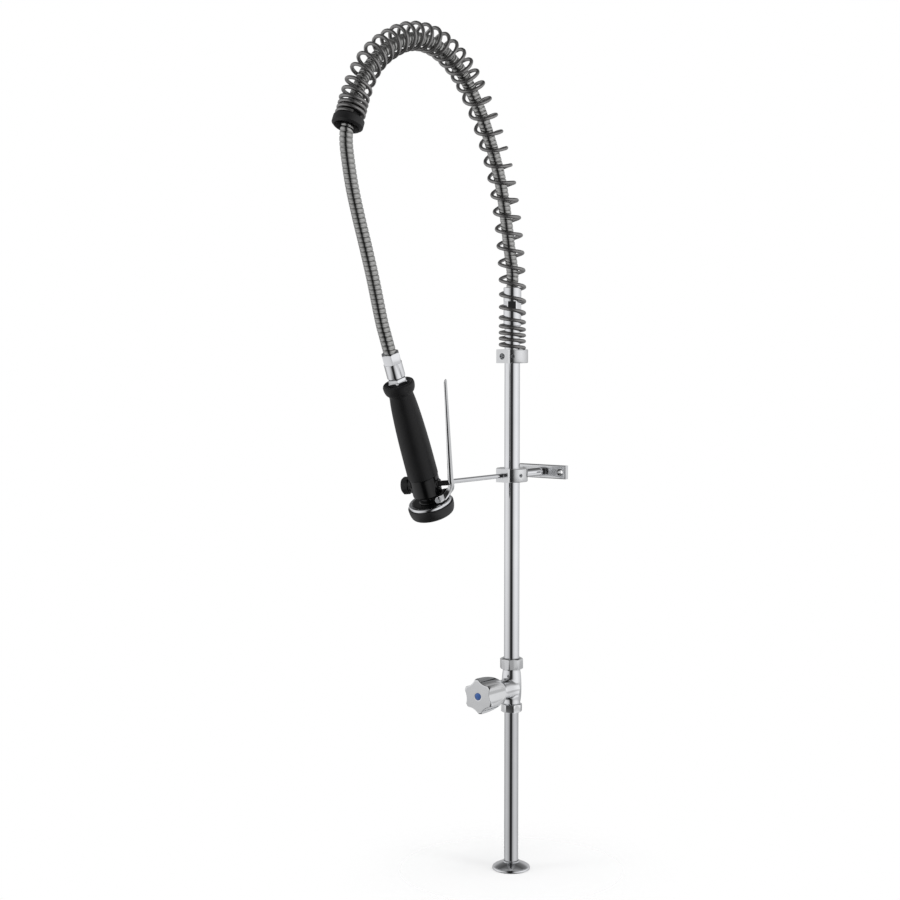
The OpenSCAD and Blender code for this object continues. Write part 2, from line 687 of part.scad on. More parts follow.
module wall_plate() color([0.74, 0.75, 0.76]) difference() {
    edge = 1;
    translate([0, wall_distance, bracket_height]) rotate([90, 0, 0]) intersection() {
        linear_extrude(plate_t) square([plate_w, plate_h], center = true);
        translate([0, -plate_h, 0]) rotate([-90, 0, 0]) linear_extrude(2 * plate_h) polygon([
            [-plate_w / 2, 0], [plate_w / 2, 0], [plate_w / 2, -plate_t + edge],
            [plate_w / 2 - edge, -plate_t], [-plate_w / 2 + edge, -plate_t],
            [-plate_w / 2, -plate_t + edge]]);
        translate([-plate_w, 0, 0]) rotate([90, 0, 90]) linear_extrude(2 * plate_w) polygon([
            [-plate_h / 2, 0], [plate_h / 2, 0], [plate_h / 2, plate_t - edge],
            [plate_h / 2 - edge, plate_t], [-plate_h / 2 + edge, plate_t],
            [-plate_h / 2, plate_t - edge]]);
    }
    round_riser(180, bracket_height) cylinder(d = ring_thread_d, h = wall_distance + eps);
    for (side = [-1, 1]) translate([side * screw_spacing / 2, wall_distance + eps, bracket_height])
        rotate([90, 0, 0]) {
            cylinder(d = screw_hole_d, h = plate_t + 2 * eps);
            sink = (countersink_d - screw_hole_d) / 2;
            translate([0, 0, eps + plate_t - sink])
                cylinder(d1 = screw_hole_d, d2 = countersink_d + 2, h = sink + 1);
        }
}

module hook_rod() color([0.80, 0.81, 0.82]) {
    straight = rod_reach - hook_bend;
    front_axis(bracket_height) {
        translate([0, 0, riser_d / 2 + 1]) cylinder(d = ring_thread_d, h = block_reach - riser_d / 2 - 1);
        translate([0, 0, block_reach - eps]) cylinder(d = rod_d, h = straight - block_reach + eps);
    }
    translate([0, -straight, bracket_height + hook_bend]) rotate([0, 90, 0])
        rotate_extrude(angle = 90, start = 270) translate([hook_bend, 0]) circle(d = rod_d);
    translate([0, -rod_reach, bracket_height + hook_bend]) {
        cylinder(d = rod_d, h = hook_lift - hook_bend);
        translate([0, 0, hook_lift - hook_bend]) sphere(d = rod_d);
    }
}

// ---- hose and spring ----------------------------------------------------------------------

module hose_union() color([0.80, 0.81, 0.82]) difference() {
    flat_z = 27;        // middle of the spanner flats
    flat_h = 10;
    translate([0, 0, union_bottom]) rotate_extrude() polygon([[0, 0], [union_d / 2 - 0.6, 0],
        [union_d / 2, 0.6], [union_d / 2, union_len - 0.6], [union_d / 2 - 0.6, union_len],
        [0, union_len]]);
    translate([0, 0, union_bottom + flat_z]) difference() {
        translate([0, 0, -flat_h / 2]) cylinder(d = union_d + 2, h = flat_h);
        translate([0, 0, -flat_h]) rotate(32)
            cylinder(d = (union_d - 2.4) / cos(30), h = 2 * flat_h, $fn = 6);
    }
    translate([0, 0, union_bottom - eps]) cylinder(d = riser_d, h = union_thread + washer_t + eps);
    translate([0, 0, union_bottom]) cylinder(d = riser_d - 6, h = union_len);
    translate([0, 0, union_top - tail_h]) cylinder(d = hose_d + 2, h = tail_h + eps);
}

module union_washer() color([0.12, 0.12, 0.12]) translate([0, 0, riser_top])
    ring(riser_d, riser_d - 2 * tube_wall - 1, washer_t);

// The plug and nipple that end a hose; the hose starts at z = 0 and the plug is below
module hose_tail() {
    nipple = hose_bore * cos(180 / hose_sides) - 2 * tail_gap;
    difference() {
        union() {
            translate([0, 0, -tail_h]) cylinder(d = hose_d + 2, h = tail_h);
            cylinder(d = nipple, h = tail_len - 2);
        }
        translate([0, 0, -tail_h - eps]) cylinder(d = nipple - 2.4, h = tail_h + tail_len + 2 * eps);
    }
}

module lower_hose_tail() color([0.80, 0.70, 0.45]) translate([0, 0, union_top]) hose_tail();

module gun_hose_tail() color([0.80, 0.70, 0.45]) gun_frame() translate([0, 0, gun_len]) hose_tail();

module hose() color([0.62, 0.63, 0.64]) {
    straight = 16;      // smooth stretch at each end
    pitch = (hose_len - 2 * straight) / hose_ribs;
    root = hose_d / 2 - 0.7;
    crest = hose_d / 2;
    bore_step = 6;      // ribs per ring of the bore
    stations = concat([[0, root], [straight, root]],
        [for (i = [0 : hose_ribs - 1]) each [[straight + pitch * (i + 0.15), crest],
            [straight + pitch * (i + 0.95), root]]],
        [[hose_len, root]]);
    bore = [for (i = [hose_ribs : -bore_step : 1]) [straight + pitch * i, hose_bore / 2]];
    all = concat(stations, [[hose_len, hose_bore / 2]], bore,
        [[straight, hose_bore / 2], [0, hose_bore / 2]]);
    skin([for (q = all) let (s = q[0], d = heading(hose_front, hose_up, min(hose_len - 2, max(2, s))))
        ring_points(to_space(hose_at(s)), [0, -d[0], d[1]], [1, 0, 0], q[1], hose_sides)], true);
}

module spring() color([0.45, 0.45, 0.46]) {
    last = len(wire_points) - 1;
    skin([for (k = [0 : last]) let (
        tangent = wire_points[min(last, k + 1)] - wire_points[max(0, k - 1)],
        s = lookup(k / rings_per_curl, curl_s),
        out = wire_points[k] - to_space(spring_at(s)),
        side = out - tangent * (out * tangent) / (tangent * tangent))
        ring_points(wire_points[k], tangent, side, wire_d / 2, wire_sides)], false);
}

// The black bush on the spring's free end: a band past the last curl and a sleeve inside it
module spring_cap() color([0.09, 0.09, 0.09]) {
    d = heading(spring_front, spring_up, spring_len - 2);
    angle = atan2(d[0], d[1]);
    sleeve_d = spring_mean_d * cos(180 / rings_per_curl) - wire_d - 0.6;
    sleeve_len = 14;
    translate(to_space(spring_at(spring_len))) rotate([angle, 0, 0]) difference() {
        union() {
            translate([0, 0, touch_gap]) rotate_extrude() polygon([[0, 0], [cap_d / 2 - 1, 0],
                [cap_d / 2, 1], [cap_d / 2, cap_len - 3], [cap_d / 2 - 1, cap_len - 0.8],
                [cap_d / 2 - 3, cap_len], [0, cap_len]]);
            translate([0, 0, -sleeve_len]) cylinder(d = sleeve_d, h = sleeve_len + 2);
        }
        translate([0, 0, -sleeve_len - eps]) cylinder(d = hose_d + 4.5, h = sleeve_len + cap_len + 3);
        translate([0, 0, 0.5]) cylinder(d1 = hose_d + 4.5, d2 = cap_d - 8, h = cap_len);
    }
}

// ---- gun: hose end and grip ---------------------------------------------------------------

module hose_nut() color([0.80, 0.81, 0.82]) gun_frame() difference() {
    hex_len = 13;
    lip = hose_nut_len - tail_h - swivel_head_h - 0.5;
    translate([0, 0, nut_z]) {
        rotate_extrude() polygon([[0, 0], [hose_nut_d / 2 - 1, 0], [hose_nut_d / 2, 1],
            [hose_nut_d / 2, hose_nut_len - hex_len], [hose_nut_d / 2 - 1.4, hose_nut_len - hex_len],
            [hose_nut_d / 2 - 1.4, hose_nut_len], [0, hose_nut_len]]);
        translate([0, 0, hose_nut_len - hex_len]) rotate(40) hexagon(hose_nut_d - 1.6, hex_len, 0.6);
    }
    translate([0, 0, nut_z - eps]) cylinder(d = swivel_d + 2 * running_gap, h = hose_nut_len);
    translate([0, 0, nut_z + lip]) cylinder(d = hose_d + 2, h = hose_nut_len);
    translate([0, 0, nut_z + lip]) cylinder(d = swivel_head_d + 2 * running_gap, h = swivel_head_h + 0.5);
}

module swivel_stem() color([0.78, 0.79, 0.80]) gun_frame() difference() {
    head_z = nut_z + hose_nut_len - tail_h - swivel_head_h - 0.25;
    union() {
        translate([0, 0, grip_top - stem_depth])
            cylinder(d = swivel_d, h = head_z - grip_top + stem_depth + eps);
        translate([0, 0, head_z]) cylinder(d = swivel_head_d - 0.8, h = swivel_head_h);
    }
    translate([0, 0, grip_top - stem_depth - eps])
        cylinder(d = swivel_bore, h = stem_depth + 2 * hose_nut_len);
    translate([0, 0, nut_z + stem_groove_z]) ring(swivel_d + 2, swivel_d - 2 * oring_t, oring_t + 0.3);
}

module swivel_oring() color([0.10, 0.10, 0.10]) gun_frame()
    translate([0, 0, nut_z + stem_groove_z + 0.15])
        ring(swivel_d + running_gap, swivel_d - 2 * oring_t, oring_t);

module grip_collar() color([0.80, 0.81, 0.82]) gun_frame() translate([0, 0, grip_top - dish_depth])
    difference() {
        union() {
            rotate(40) hexagon(gun_tube_d, grip_collar_h - 3.5, 0.6);
            rotate(40) hexagon(gun_tube_d - 2, grip_collar_h, 0.5);
        }
        translate([0, 0, -eps]) cylinder(d = swivel_d, h = grip_collar_h + 2 * eps);
    }

module grip() color([0.13, 0.13, 0.14]) gun_frame() translate([0, 0, grip_z]) difference() {
    foot_r = grip_foot_d / 2;
    waist_r = grip_waist_d / 2;
    bulb_r = bulb_d / 2;
    foot_len = 16;      // straight stretch above the grip's foot
    waist_z = grip_len - 17;
    bulb_z = grip_len - 3.5;
    crest_r = bulb_r - 2;
    dish_r = gun_tube_d / cos(30) / 2 + 0.4;
    rotate_extrude() polygon([[0, 0], [foot_r - 0.6, 0], [foot_r, 0.8],
        for (a = [0 : 10 : 90]) [waist_r + (foot_r - waist_r) * cos(a),
            foot_len + (waist_z - foot_len) * (0.4 * a / 90 + 0.6 * sin(a))],
        for (a = [-75 : 15 : -15]) [bulb_r - 5 + 5 * cos(a), bulb_z + 10 * sin(a)],
        for (a = [0 : 30 : 90]) [crest_r + 2 * cos(a), bulb_z + (grip_len - bulb_z) * sin(a)],
        [0, grip_len]]);
    translate([0, 0, -eps]) cylinder(d = gun_tube_d, h = grip_len - bulb_floor + eps);
    translate([0, 0, grip_len - bulb_floor - 2 * eps])
        cylinder(d = swivel_d + 4, h = bulb_floor + 4 * eps);
    // the dish that the collar sits in
    translate([0, 0, grip_len - dish_depth])
        cylinder(r1 = dish_r, r2 = crest_r - 0.3, h = dish_depth + touch_gap);
}

// ---- gun: body and valve ------------------------------------------------------------------

lug_w = 18.2;           // width of the lug between the yoke's cheeks
cheek_gap = 0.4;        // between the lug and each cheek
cheek_outer = lug_w / 2 + cheek_gap + cheek_t;
seat_r = 1;             // the plunger's seat, measured outward from the gun's axis
valve_bore = 14.2;
plunger_seat_bore = 9.6;
outlet_d = 12;
cap_face = 20;          // distance from the gun's axis to the face under the valve cap
cap_spigot_len = 7.5;
seal_h = 2.5;
disc_h = 2;
disc_d = 12.6;
guide_d = 5;
stem_oring_r = 15;
yoke_r = 15.2;          // radius inside the yoke's bend
yoke_outer_r = 22.5;
yoke_edge = 4.4;        // metal round the pin's axis
disc_z = seat_r - seal_h - disc_h;      // back face of the plunger's disc
plunger_tip = pivot_r + yoke_r - 0.4;   // the stem just reaches the lever
foot_h = 1.6;           // the gun body's foot lies in a recess in the head ring's top
foot_r = rim_d / 2 - 4.4;
spring_pocket_d = 10.8;
spring_pocket_end = 24.5;

module gun_body() color([0.06, 0.06, 0.06]) difference() {
    union() {
        gun_frame() rotate_extrude() polygon([[0, head_top - neck_depth],
            [neck_thread_d / 2, head_top - neck_depth], [neck_thread_d / 2, head_top - foot_h],
            [foot_r, head_top - foot_h], [foot_r, head_top - 0.4], [foot_r - 0.4, head_top],
            [neck_d / 2, head_top], [neck_d / 2, body_z], [gun_body_d / 2 - 2, body_z],
            for (a = [-60 : 30 : 0]) [gun_body_d / 2 - 2 + 2 * cos(a), body_z + 2 + 2 * sin(a)],
            [gun_body_d / 2, grip_z], [gun_tube_d / 2, grip_z], [gun_tube_d / 2, grip_top - bulb_floor],
            [0, grip_top - bulb_floor]]);
        // lug for the lever pin
        lever_plate(lug_w) {
            translate([0, pivot_z - 4]) square([pivot_r, body_z - pivot_z + 4 + eps]);
            translate([pivot_r, pivot_z]) circle(r = 4);
            translate([pivot_r - 1, pivot_z]) square([3, body_z - pivot_z + eps]);
        }
        // boss under the valve cap, and the stem's guide on the lever's side
        plunger_frame() mirror([0, 0, 1]) cylinder(d = valve_cap_af + 0.5, h = cap_face);
        plunger_frame() cylinder(d = stem_d + 6, h = gun_body_d / 2 + 1.2);
    }
    gun_frame() {
        translate([0, 0, plunger_z + 14]) cylinder(d = 13, h = grip_top);
        translate([0, 0, grip_top - stem_depth - 4]) cylinder(d = swivel_d, h = stem_depth + 8);
        rotate([0, 0, lever_azimuth]) translate([-6, 0, plunger_z]) cylinder(d = 9, h = 16);
        rotate([0, 0, lever_azimuth]) translate([7.2, 0, head_top - neck_depth - 1])
            cylinder(d = 5, h = plunger_z - head_top + neck_depth + 1);
    }
    plunger_frame() {
        translate([0, 0, -cap_face - eps]) cylinder(d = valve_bore, h = cap_face + seat_r + eps);
        translate([0, 0, -cap_face - eps]) cylinder(d = valve_bore + 2.8, h = 1.4 + eps);
        cylinder(d = plunger_seat_bore, h = 6);
        translate([0, 0, seat_r + 3]) cylinder(d = outlet_d, h = 7.5);
        cylinder(d = stem_d + 2 * running_gap, h = gun_body_d);
        translate([0, 0, stem_oring_r]) cylinder(d = stem_d + 2 * oring_t, h = oring_t + 0.3);
    }
    lever_plate(lug_w + 2) translate([pivot_r, pivot_z]) circle(d = pin_d);
}

module valve_cap() color([0.05, 0.05, 0.05]) plunger_frame() mirror([0, 0, 1]) difference() {
    union() {
        translate([0, 0, cap_face]) hexagon(valve_cap_af, valve_cap_len);
        translate([0, 0, cap_face - cap_spigot_len]) cylinder(d = valve_bore, h = cap_spigot_len + eps);
    }
    translate([0, 0, cap_face - cap_spigot_len - eps])
        cylinder(d = spring_pocket_d, h = spring_pocket_end - cap_face + cap_spigot_len + eps);
}

module cap_oring() color([0.10, 0.10, 0.10]) plunger_frame() translate([0, 0, -cap_face])
    ring(valve_bore + 2.8, valve_bore, 1.4);

module plunger() color([0.08, 0.08, 0.08]) plunger_frame() {
    dome = 1.6;         // height of the stem's rounded tip
    translate([0, 0, disc_z - 5.5]) cylinder(d = guide_d, h = 6);
    translate([0, 0, disc_z]) cylinder(d = disc_d, h = disc_h - touch_gap);
    translate([0, 0, disc_z]) cylinder(d = stem_d, h = plunger_tip - dome - disc_z);
    translate([0, 0, plunger_tip - dome]) rotate_extrude() polygon([[0, 0], [stem_d / 2, 0],
        for (a = [30 : 30 : 90]) [stem_d / 2 * cos(a), dome * sin(a)]]);
}

module plunger_seal() color([0.20, 0.20, 0.20]) plunger_frame()
    translate([0, 0, seat_r - seal_h - touch_gap]) ring(disc_d, stem_d, seal_h);

module stem_oring() color([0.10, 0.10, 0.10]) plunger_frame() translate([0, 0, stem_oring_r + 0.15])
    ring(stem_d + 2 * oring_t, stem_d + 2 * running_gap, oring_t);

module plunger_spring() color([0.60, 0.60, 0.61]) {
    wire = 1.1;
    r = (spring_pocket_d - wire) / 2 - 0.5;
    start = disc_z - wire / 2 - 0.1;
    length = spring_pocket_end + start - wire / 2 - 0.1;
    turns = 5;
    plunger_frame() skin([for (k = [0 : turns * 8]) let (a = 45 * k, z = start - length * k / (turns * 8))
        ring_points([r * cos(a), r * sin(a), z], [-sin(a), cos(a), -length / turns / 2 / PI / r],
            [cos(a), sin(a), 0], wire / 2, 6)], false);
}

// ---- lever --------------------------------------------------------------------------------

// Side view of the yoke: a cheek round the pin that bends up into the bar
module yoke_outline() {
    bend = [pivot_r, pivot_z + yoke_edge + yoke_r];
    reach = 2 * yoke_outer_r;
    difference() {
        translate(bend + [-2.5, -1.5]) circle(r = yoke_outer_r);
        translate(bend) circle(r = yoke_r);
        translate([bend[0] - reach, bend[1] - reach]) square([reach, 2 * reach]);
        translate([bend[0] - 1, bend[1]]) square(reach);
    }
    translate([pivot_r, pivot_z]) circle(r = yoke_edge);
}

// One station of the bar, which has a rounded section across the lever's plane
module bar_station(r, z, t, w) {
    translate([r, 0, z]) rotate([90, 0, 0]) {
        cylinder(d = t, h = w * 0.5, center = true, $fn = 24);
        cylinder(d = t * 0.8, h = w * 0.86, center = true, $fn = 24);
        cylinder(d = t * 0.4, h = w, center = true, $fn = 24);
    }
}

module lever() color([0.80, 0.81, 0.82]) {
    bend_z = pivot_z + yoke_edge + yoke_r;
    foot_r = pivot_r + yoke_r + bar_foot_t / 2;
    shoulder_z = pivot_z + 3;
    neck_z = pivot_z + 14;
    difference() {
        intersection() {
            lever_plate(2 * cheek_outer) yoke_outline();
            // front view: as wide as the cheeks below, drawn in to the bar above
            gun_frame() rotate([0, 0, lever_azimuth]) rotate([90, 0, 90])
                linear_extrude(pivot_r + 2 * yoke_outer_r) {
                side = [[0, pivot_z - 10], [cheek_outer, pivot_z - 10], [cheek_outer, shoulder_z],
                    for (a = [0 : 15 : 90])
                        [bar_foot_w / 2 + (cheek_outer - bar_foot_w / 2) * pow(1 - sin(a), 2),
                        shoulder_z + (neck_z - shoulder_z) * sin(a / 2) / sin(45)],
                    [bar_foot_w / 2, bend_z], [0, bend_z]];
                polygon(side);
                mirror([1, 0]) polygon(side);
            }
        }
        // slot between the cheeks
        lever_plate(lug_w + 2 * cheek_gap) translate([0, pivot_z - yoke_outer_r])
            square([pivot_r + 7, 2 * yoke_outer_r + yoke_edge]);
        lever_plate(2 * cheek_outer + 2) translate([pivot_r, pivot_z])
            circle(d = pin_d + 2 * running_gap);
    }
    gun_frame() rotate([0, 0, lever_azimuth]) {
        mid = 0.48;
        for (span = [[0, mid], [mid, 1]]) hull() for (f = span)
            bar_station(foot_r + bar_lean * bar_len * f, bend_z - 0.5 + bar_len * f,
                bar_foot_t + (bar_tip_t - bar_foot_t) * f, bar_foot_w + (bar_tip_w - bar_foot_w) * f);
    }
}

module lever_pin() color([0.72, 0.73, 0.74]) {
    head_t = 1.2;
    head_mid = cheek_outer + 0.2 + head_t / 2;
    lever_plate(2 * head_mid) translate([pivot_r, pivot_z]) circle(d = pin_d);
    for (side = [-1, 1]) lever_plate(head_t, side * head_mid)
        translate([pivot_r, pivot_z]) circle(d = pin_d + 2.5);
}

// ---- spray head ---------------------------------------------------------------------------

skirt_r = 24;
lip_h = 2.5;            // rubber under the edge of the spray plate
spray_plate_t = 2.5;

module head_ring() color([0.80, 0.81, 0.82]) gun_frame() difference() {
    rotate_extrude() polygon([[0, lip_h], [skirt_r, lip_h], [skirt_r, rim_bottom],
        [rim_d / 2 - 0.6, rim_bottom], [rim_d / 2, rim_bottom + 0.6], [rim_d / 2, head_top - 1.2],
        [rim_d / 2 - 1.2, head_top], [0, head_top]]);
    // socket for the gun body's neck and its washer, the waterway, then the seat of the spray plate
    translate([0, 0, head_top - neck_depth - head_washer_t])
        cylinder(d = neck_thread_d, h = neck_depth + 2 * head_washer_t);
    translate([0, 0, head_top - foot_h]) cylinder(r = foot_r + 0.2, h = foot_h + eps);
    translate([0, 0, lip_h]) cylinder(d = head_bore, h = rim_bottom);
    translate([0, 0, lip_h - eps]) cylinder(d = spray_plate_d, h = spray_plate_t + eps);
    translate([0, 0, lip_h + spray_plate_t - 0.1]) cylinder(d = spray_plate_d - 3, h = 2.5);
}

module head_washer() color([0.12, 0.12, 0.12]) gun_frame()
    translate([0, 0, head_top - neck_depth - head_washer_t])
        ring(neck_thread_d, head_bore, head_washer_t);

module bumper() color([0.10, 0.10, 0.11]) gun_frame() rotate_extrude() polygon([
    [spray_plate_d / 2 - 2, 0], [bumper_d / 2 - 3.5, 0],
    for (a = [0 : 15 : 90]) [bumper_d / 2 - 3.5 + 3.5 * sin(a), 0.5 + 8 * (1 - cos(a))],
    [bumper_d / 2, bumper_h - 3], [bumper_d / 2 - 1, bumper_h], [skirt_r, bumper_h], [skirt_r, lip_h],
    [spray_plate_d / 2 - 2, lip_h]]);

module spray_plate() color([0.75, 0.76, 0.77]) gun_frame() difference() {
    translate([0, 0, lip_h]) cylinder(d = spray_plate_d, h = spray_plate_t);
    for (row = [1 : 3], i = [0 : 6 * row - 1]) rotate(60 * i / row + 10 * row)
        translate([5 * row, 0, 0]) cylinder(d = spray_hole_d, h = 10);
    cylinder(d = spray_hole_d, h = 10);
}

deck_flange();
flange_gasket();
lower_riser();
lower_nut();
lower_olive();
valve_body();
upper_nut();
upper_olive();
upper_riser();
bonnet();
bonnet_gasket();
spindle();
spindle_oring();
spindle_clip();
valve_piston();
valve_washer();
handle();
handle_screw();
index_button();
bracket_ring();
bracket_set_screw();
bracket_arm();
wall_plate();
hook_rod();
spring_collar();
collar_set_screw();
hose_union();
union_washer();
lower_hose_tail();
hose();
gun_hose_tail();
spring();
spring_cap();
hose_nut();
swivel_stem();
swivel_oring();
grip_collar();
gun_body();
grip();
valve_cap();
cap_oring();
plunger();
plunger_seal();
plunger_spring();
stem_oring();
lever();
lever_pin();
head_ring();
head_washer();
bumper();
spray_plate();
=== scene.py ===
# %% [markdown]
# # Dressing a pre rinse faucet
#
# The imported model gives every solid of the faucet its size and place. This lesson keeps those solids as a
# frame and gives each visible one its finished surface: rounded edges, cast and turned forms, a wound hose
# and a coiled spring, and a material made from what the real part is made of.

# %% Load the frame
import bisect
import json
import math

import bmesh
import bpy
from mathutils import Matrix, Vector


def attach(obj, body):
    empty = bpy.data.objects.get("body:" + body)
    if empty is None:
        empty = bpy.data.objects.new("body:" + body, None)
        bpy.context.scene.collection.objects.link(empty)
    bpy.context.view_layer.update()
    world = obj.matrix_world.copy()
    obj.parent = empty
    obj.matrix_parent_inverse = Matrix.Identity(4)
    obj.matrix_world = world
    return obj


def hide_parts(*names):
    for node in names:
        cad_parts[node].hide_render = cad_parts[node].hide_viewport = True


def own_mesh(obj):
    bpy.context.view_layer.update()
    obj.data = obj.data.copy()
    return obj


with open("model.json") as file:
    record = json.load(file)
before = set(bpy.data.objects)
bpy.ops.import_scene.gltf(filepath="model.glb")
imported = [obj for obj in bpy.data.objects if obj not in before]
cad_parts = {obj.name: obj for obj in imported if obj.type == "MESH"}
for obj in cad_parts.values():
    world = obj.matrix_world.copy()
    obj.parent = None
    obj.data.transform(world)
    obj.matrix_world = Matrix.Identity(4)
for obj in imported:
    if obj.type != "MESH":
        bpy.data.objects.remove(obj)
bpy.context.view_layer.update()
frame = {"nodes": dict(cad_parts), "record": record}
scene = bpy.context.scene
mm = 0.001


def write_sizes():
    """Brings every object's placement up to date."""
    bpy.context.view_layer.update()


write_sizes()

# %% [markdown]
# ## The camera
#
# The faucet is over a metre tall and thin. A wide lens close by would make the riser lean, so it is seen
# from a couple of metres away through a long lens, from where the arch, the gun and the star handle stay
# clear of each other.

# %% Place the camera
LOOKING_DOWN, TURNED_LEFT = math.radians(3.8244), math.radians(37.0447)

camera = bpy.data.objects.new("camera", bpy.data.cameras.new("camera"))
camera.data.lens = 71.57
camera.data.sensor_width = 36
camera.location = (1.33412, -1.90152, 0.70934)
camera.rotation_euler = (math.radians(90) - LOOKING_DOWN, 0, TURNED_LEFT)
scene.collection.objects.link(camera)
scene.camera = camera
print("camera distance from the riser:", round(camera.location.xy.length, 3), "m")

# %% [markdown]
# ## Two routes over the arch
#
# The spring stands on its collar and bends over under the weight of the hose and gun. The hose leaves its
# union inside the spring, follows it over the arch, and hangs down to the gun. A simulation could hang them,
# but the solids that they dress are fixed in their places, so their lines are drawn. Both axes lie in one
# plane, so each is a list of points, how far forward and how far up, joined by one smooth curve that can be
# measured along its length.

# %% Routes of the spring and the hose
COLLAR_TOP = 684.75 * mm
HALF_STRETCH = 2 * mm

spring_points = [(0, 0), (0, 40), (0, 83), (5, 131), (14, 178), (27, 223), (47.5, 266), (74, 308),
    (112, 348), (162, 372), (214, 373), (264, 352), (296, 324), (313.5, 294), (319, 280), (325, 266)]
hose_points = [(0, 80), (0, 90), (0, 99), (2, 110), (7, 130), (17, 177), (30, 221), (50.5, 264),
    (77, 306), (114, 345), (163, 369), (213, 370), (262, 350), (294, 322), (312.5, 293.5), (318.5, 280),
    (325, 266), (329, 255), (330.5, 240), (327.5, 220), (320, 188), (308.5, 154), (295, 118), (283, 84),
    (271, 46), (266, 31), (262.5, 22.75), (259, 14.5), (255.5, 6.25), (252, -2)]


def smooth_curve(points, steps):
    """A closer row of points on the smooth curve that goes through every given one."""
    p = [2 * points[0] - points[1]] + points + [2 * points[-1] - points[-2]]
    curve = []
    for a, b, c, d in zip(p, p[1:], p[2:], p[3:]):
        for t in [k / steps for k in range(steps)]:
            curve.append(0.5 * (2 * b + (c - a) * t + (2 * a - 5 * b + 4 * c - d) * t * t
                                + (3 * b - a - 3 * c + d) * t ** 3))
    return curve + [points[-1]]


class Route:
    """A smooth curve in the plane of the arch, measured along its length."""

    def __init__(self, points):
        in_the_plane = [Vector((0, -front * mm, COLLAR_TOP + up * mm)) for front, up in points]
        self.points = smooth_curve(in_the_plane, 8)
        self.lengths = [0]
        for a, b in zip(self.points, self.points[1:]):
            self.lengths.append(self.lengths[-1] + (b - a).length)
        self.length = self.lengths[-1]

    def at(self, s):
        """The point at a length along the route."""
        s = min(self.length, max(0, s))
        i = min(len(self.points) - 2, max(0, bisect.bisect_right(self.lengths, s) - 1))
        t = (s - self.lengths[i]) / (self.lengths[i + 1] - self.lengths[i])
        return self.points[i].lerp(self.points[i + 1], t)

    def heading(self, s):
        """The direction of the route there, taken over a short stretch."""
        s = min(self.length - HALF_STRETCH, max(HALF_STRETCH, s))
        return (self.at(s + HALF_STRETCH) - self.at(s - HALF_STRETCH)).normalized()


spring_route = Route(spring_points)
hose_route = Route(hose_points)
print("spring axis", round(spring_route.length, 4), "m, hose", round(hose_route.length, 4), "m")

# %% [markdown]
# ## Colours and nodes
#
# Colours are written as the hex values that a colour picker shows, and one function turns them to the
# linear values that the shaders work in. Another small function adds a node, sets it and links it.

# %% Helpers for materials


def colour(code):
    """Linear RGBA of a hex sRGB colour."""
    parts = [int(code[i:i + 2], 16) / 255 for i in (0, 2, 4)]
    return [c / 12.92 if c <= 0.04045 else ((c + 0.055) / 1.055) ** 2.4 for c in parts] + [1]


def add(tree, kind, inputs=None, **settings):
    """Adds a node; an input is either a value or another node's output."""
    node = tree.nodes.new("ShaderNode" + kind)
    for name, value in settings.items():
        setattr(node, name, value)
    for name, value in (inputs or {}).items():
        if isinstance(value, bpy.types.NodeSocket):
            tree.links.new(value, node.inputs[name])
        else:
            node.inputs[name].default_value = value
    return node


def new_material(name):
    """An empty material and its node tree."""
    made = bpy.data.materials.new(name)
    made.use_nodes = True
    made.node_tree.nodes.clear()
    return made, made.node_tree


def stops(node, values):
    """Sets a colour ramp's stops from (place, colour) pairs."""
    ramp = node.color_ramp
    while len(ramp.elements) < len(values):
        ramp.elements.new(1)
    for element, (place, value) in zip(ramp.elements, values):
        element.position = place
        element.color = value


print("middle grey of 808080 is", round(colour("808080")[0], 3))

# %% [markdown]
# ## The studio
#
# Chrome has hardly a colour of its own: what makes a riser look like chrome is what stands round it. A
# product studio puts bright white walls left and right and leaves a dark gap behind the camera. Each upright
# tube then shows two bright bands with a black line between them, and a thin grey edge where it
# mirrors the far side of the room. A room of planes would do, but its walls would be near at the foot and
# far at the arch. The world below is that room, drawn by direction only: a ramp goes once round the horizon,
# starting and ending straight behind the faucet, with the camera at its middle. A second ramp goes from the
# ground to overhead, and only mirrors see it. Camera rays see plain white instead.

# %% The room round the faucet
TOWARD_CAMERA = Vector((0.5744, -0.8186, 0))
TO_THE_RIGHT = Vector((0.8186, 0.5744, 0))

world = bpy.data.worlds.new("studio")
scene.world = world
world.use_nodes = True
tree = world.node_tree
tree.nodes.clear()

direction = add(tree, "TexCoord").outputs["Generated"]
toward = add(tree, "VectorMath", {0: direction, 1: TOWARD_CAMERA}, operation="DOT_PRODUCT")
right = add(tree, "VectorMath", {0: direction, 1: TO_THE_RIGHT}, operation="DOT_PRODUCT")
turn = add(tree, "Math", {0: right.outputs["Value"], 1: toward.outputs["Value"]}, operation="ARCTAN2")
round_the_room = add(tree, "MapRange", {"Value": turn.outputs[0], "From Min": -math.pi,
    "From Max": math.pi})
walls = add(tree, "ValToRGB", {"Fac": round_the_room.outputs[0]})


def wall_stops(pairs):
    """(degrees from the camera, brightness) pairs to stops of the ramp."""
    return [((angle + 180) / 360, (value, value, value * 1.01, 1)) for angle, value in pairs]


stops(walls, wall_stops([(-180, 0.41), (-145, 0.49), (-120, 0.72), (-94, 0.85), (-74, 0.81), (-53, 0.70),
    (-35, 0.49), (-26, 0.23), (-18, 0.035), (0, 0.017), (8, 0.06), (15, 0.29), (23, 0.58), (38, 0.81),
    (56, 0.93), (74, 0.96), (94, 0.85), (120, 0.72), (145, 0.58), (180, 0.41)]))

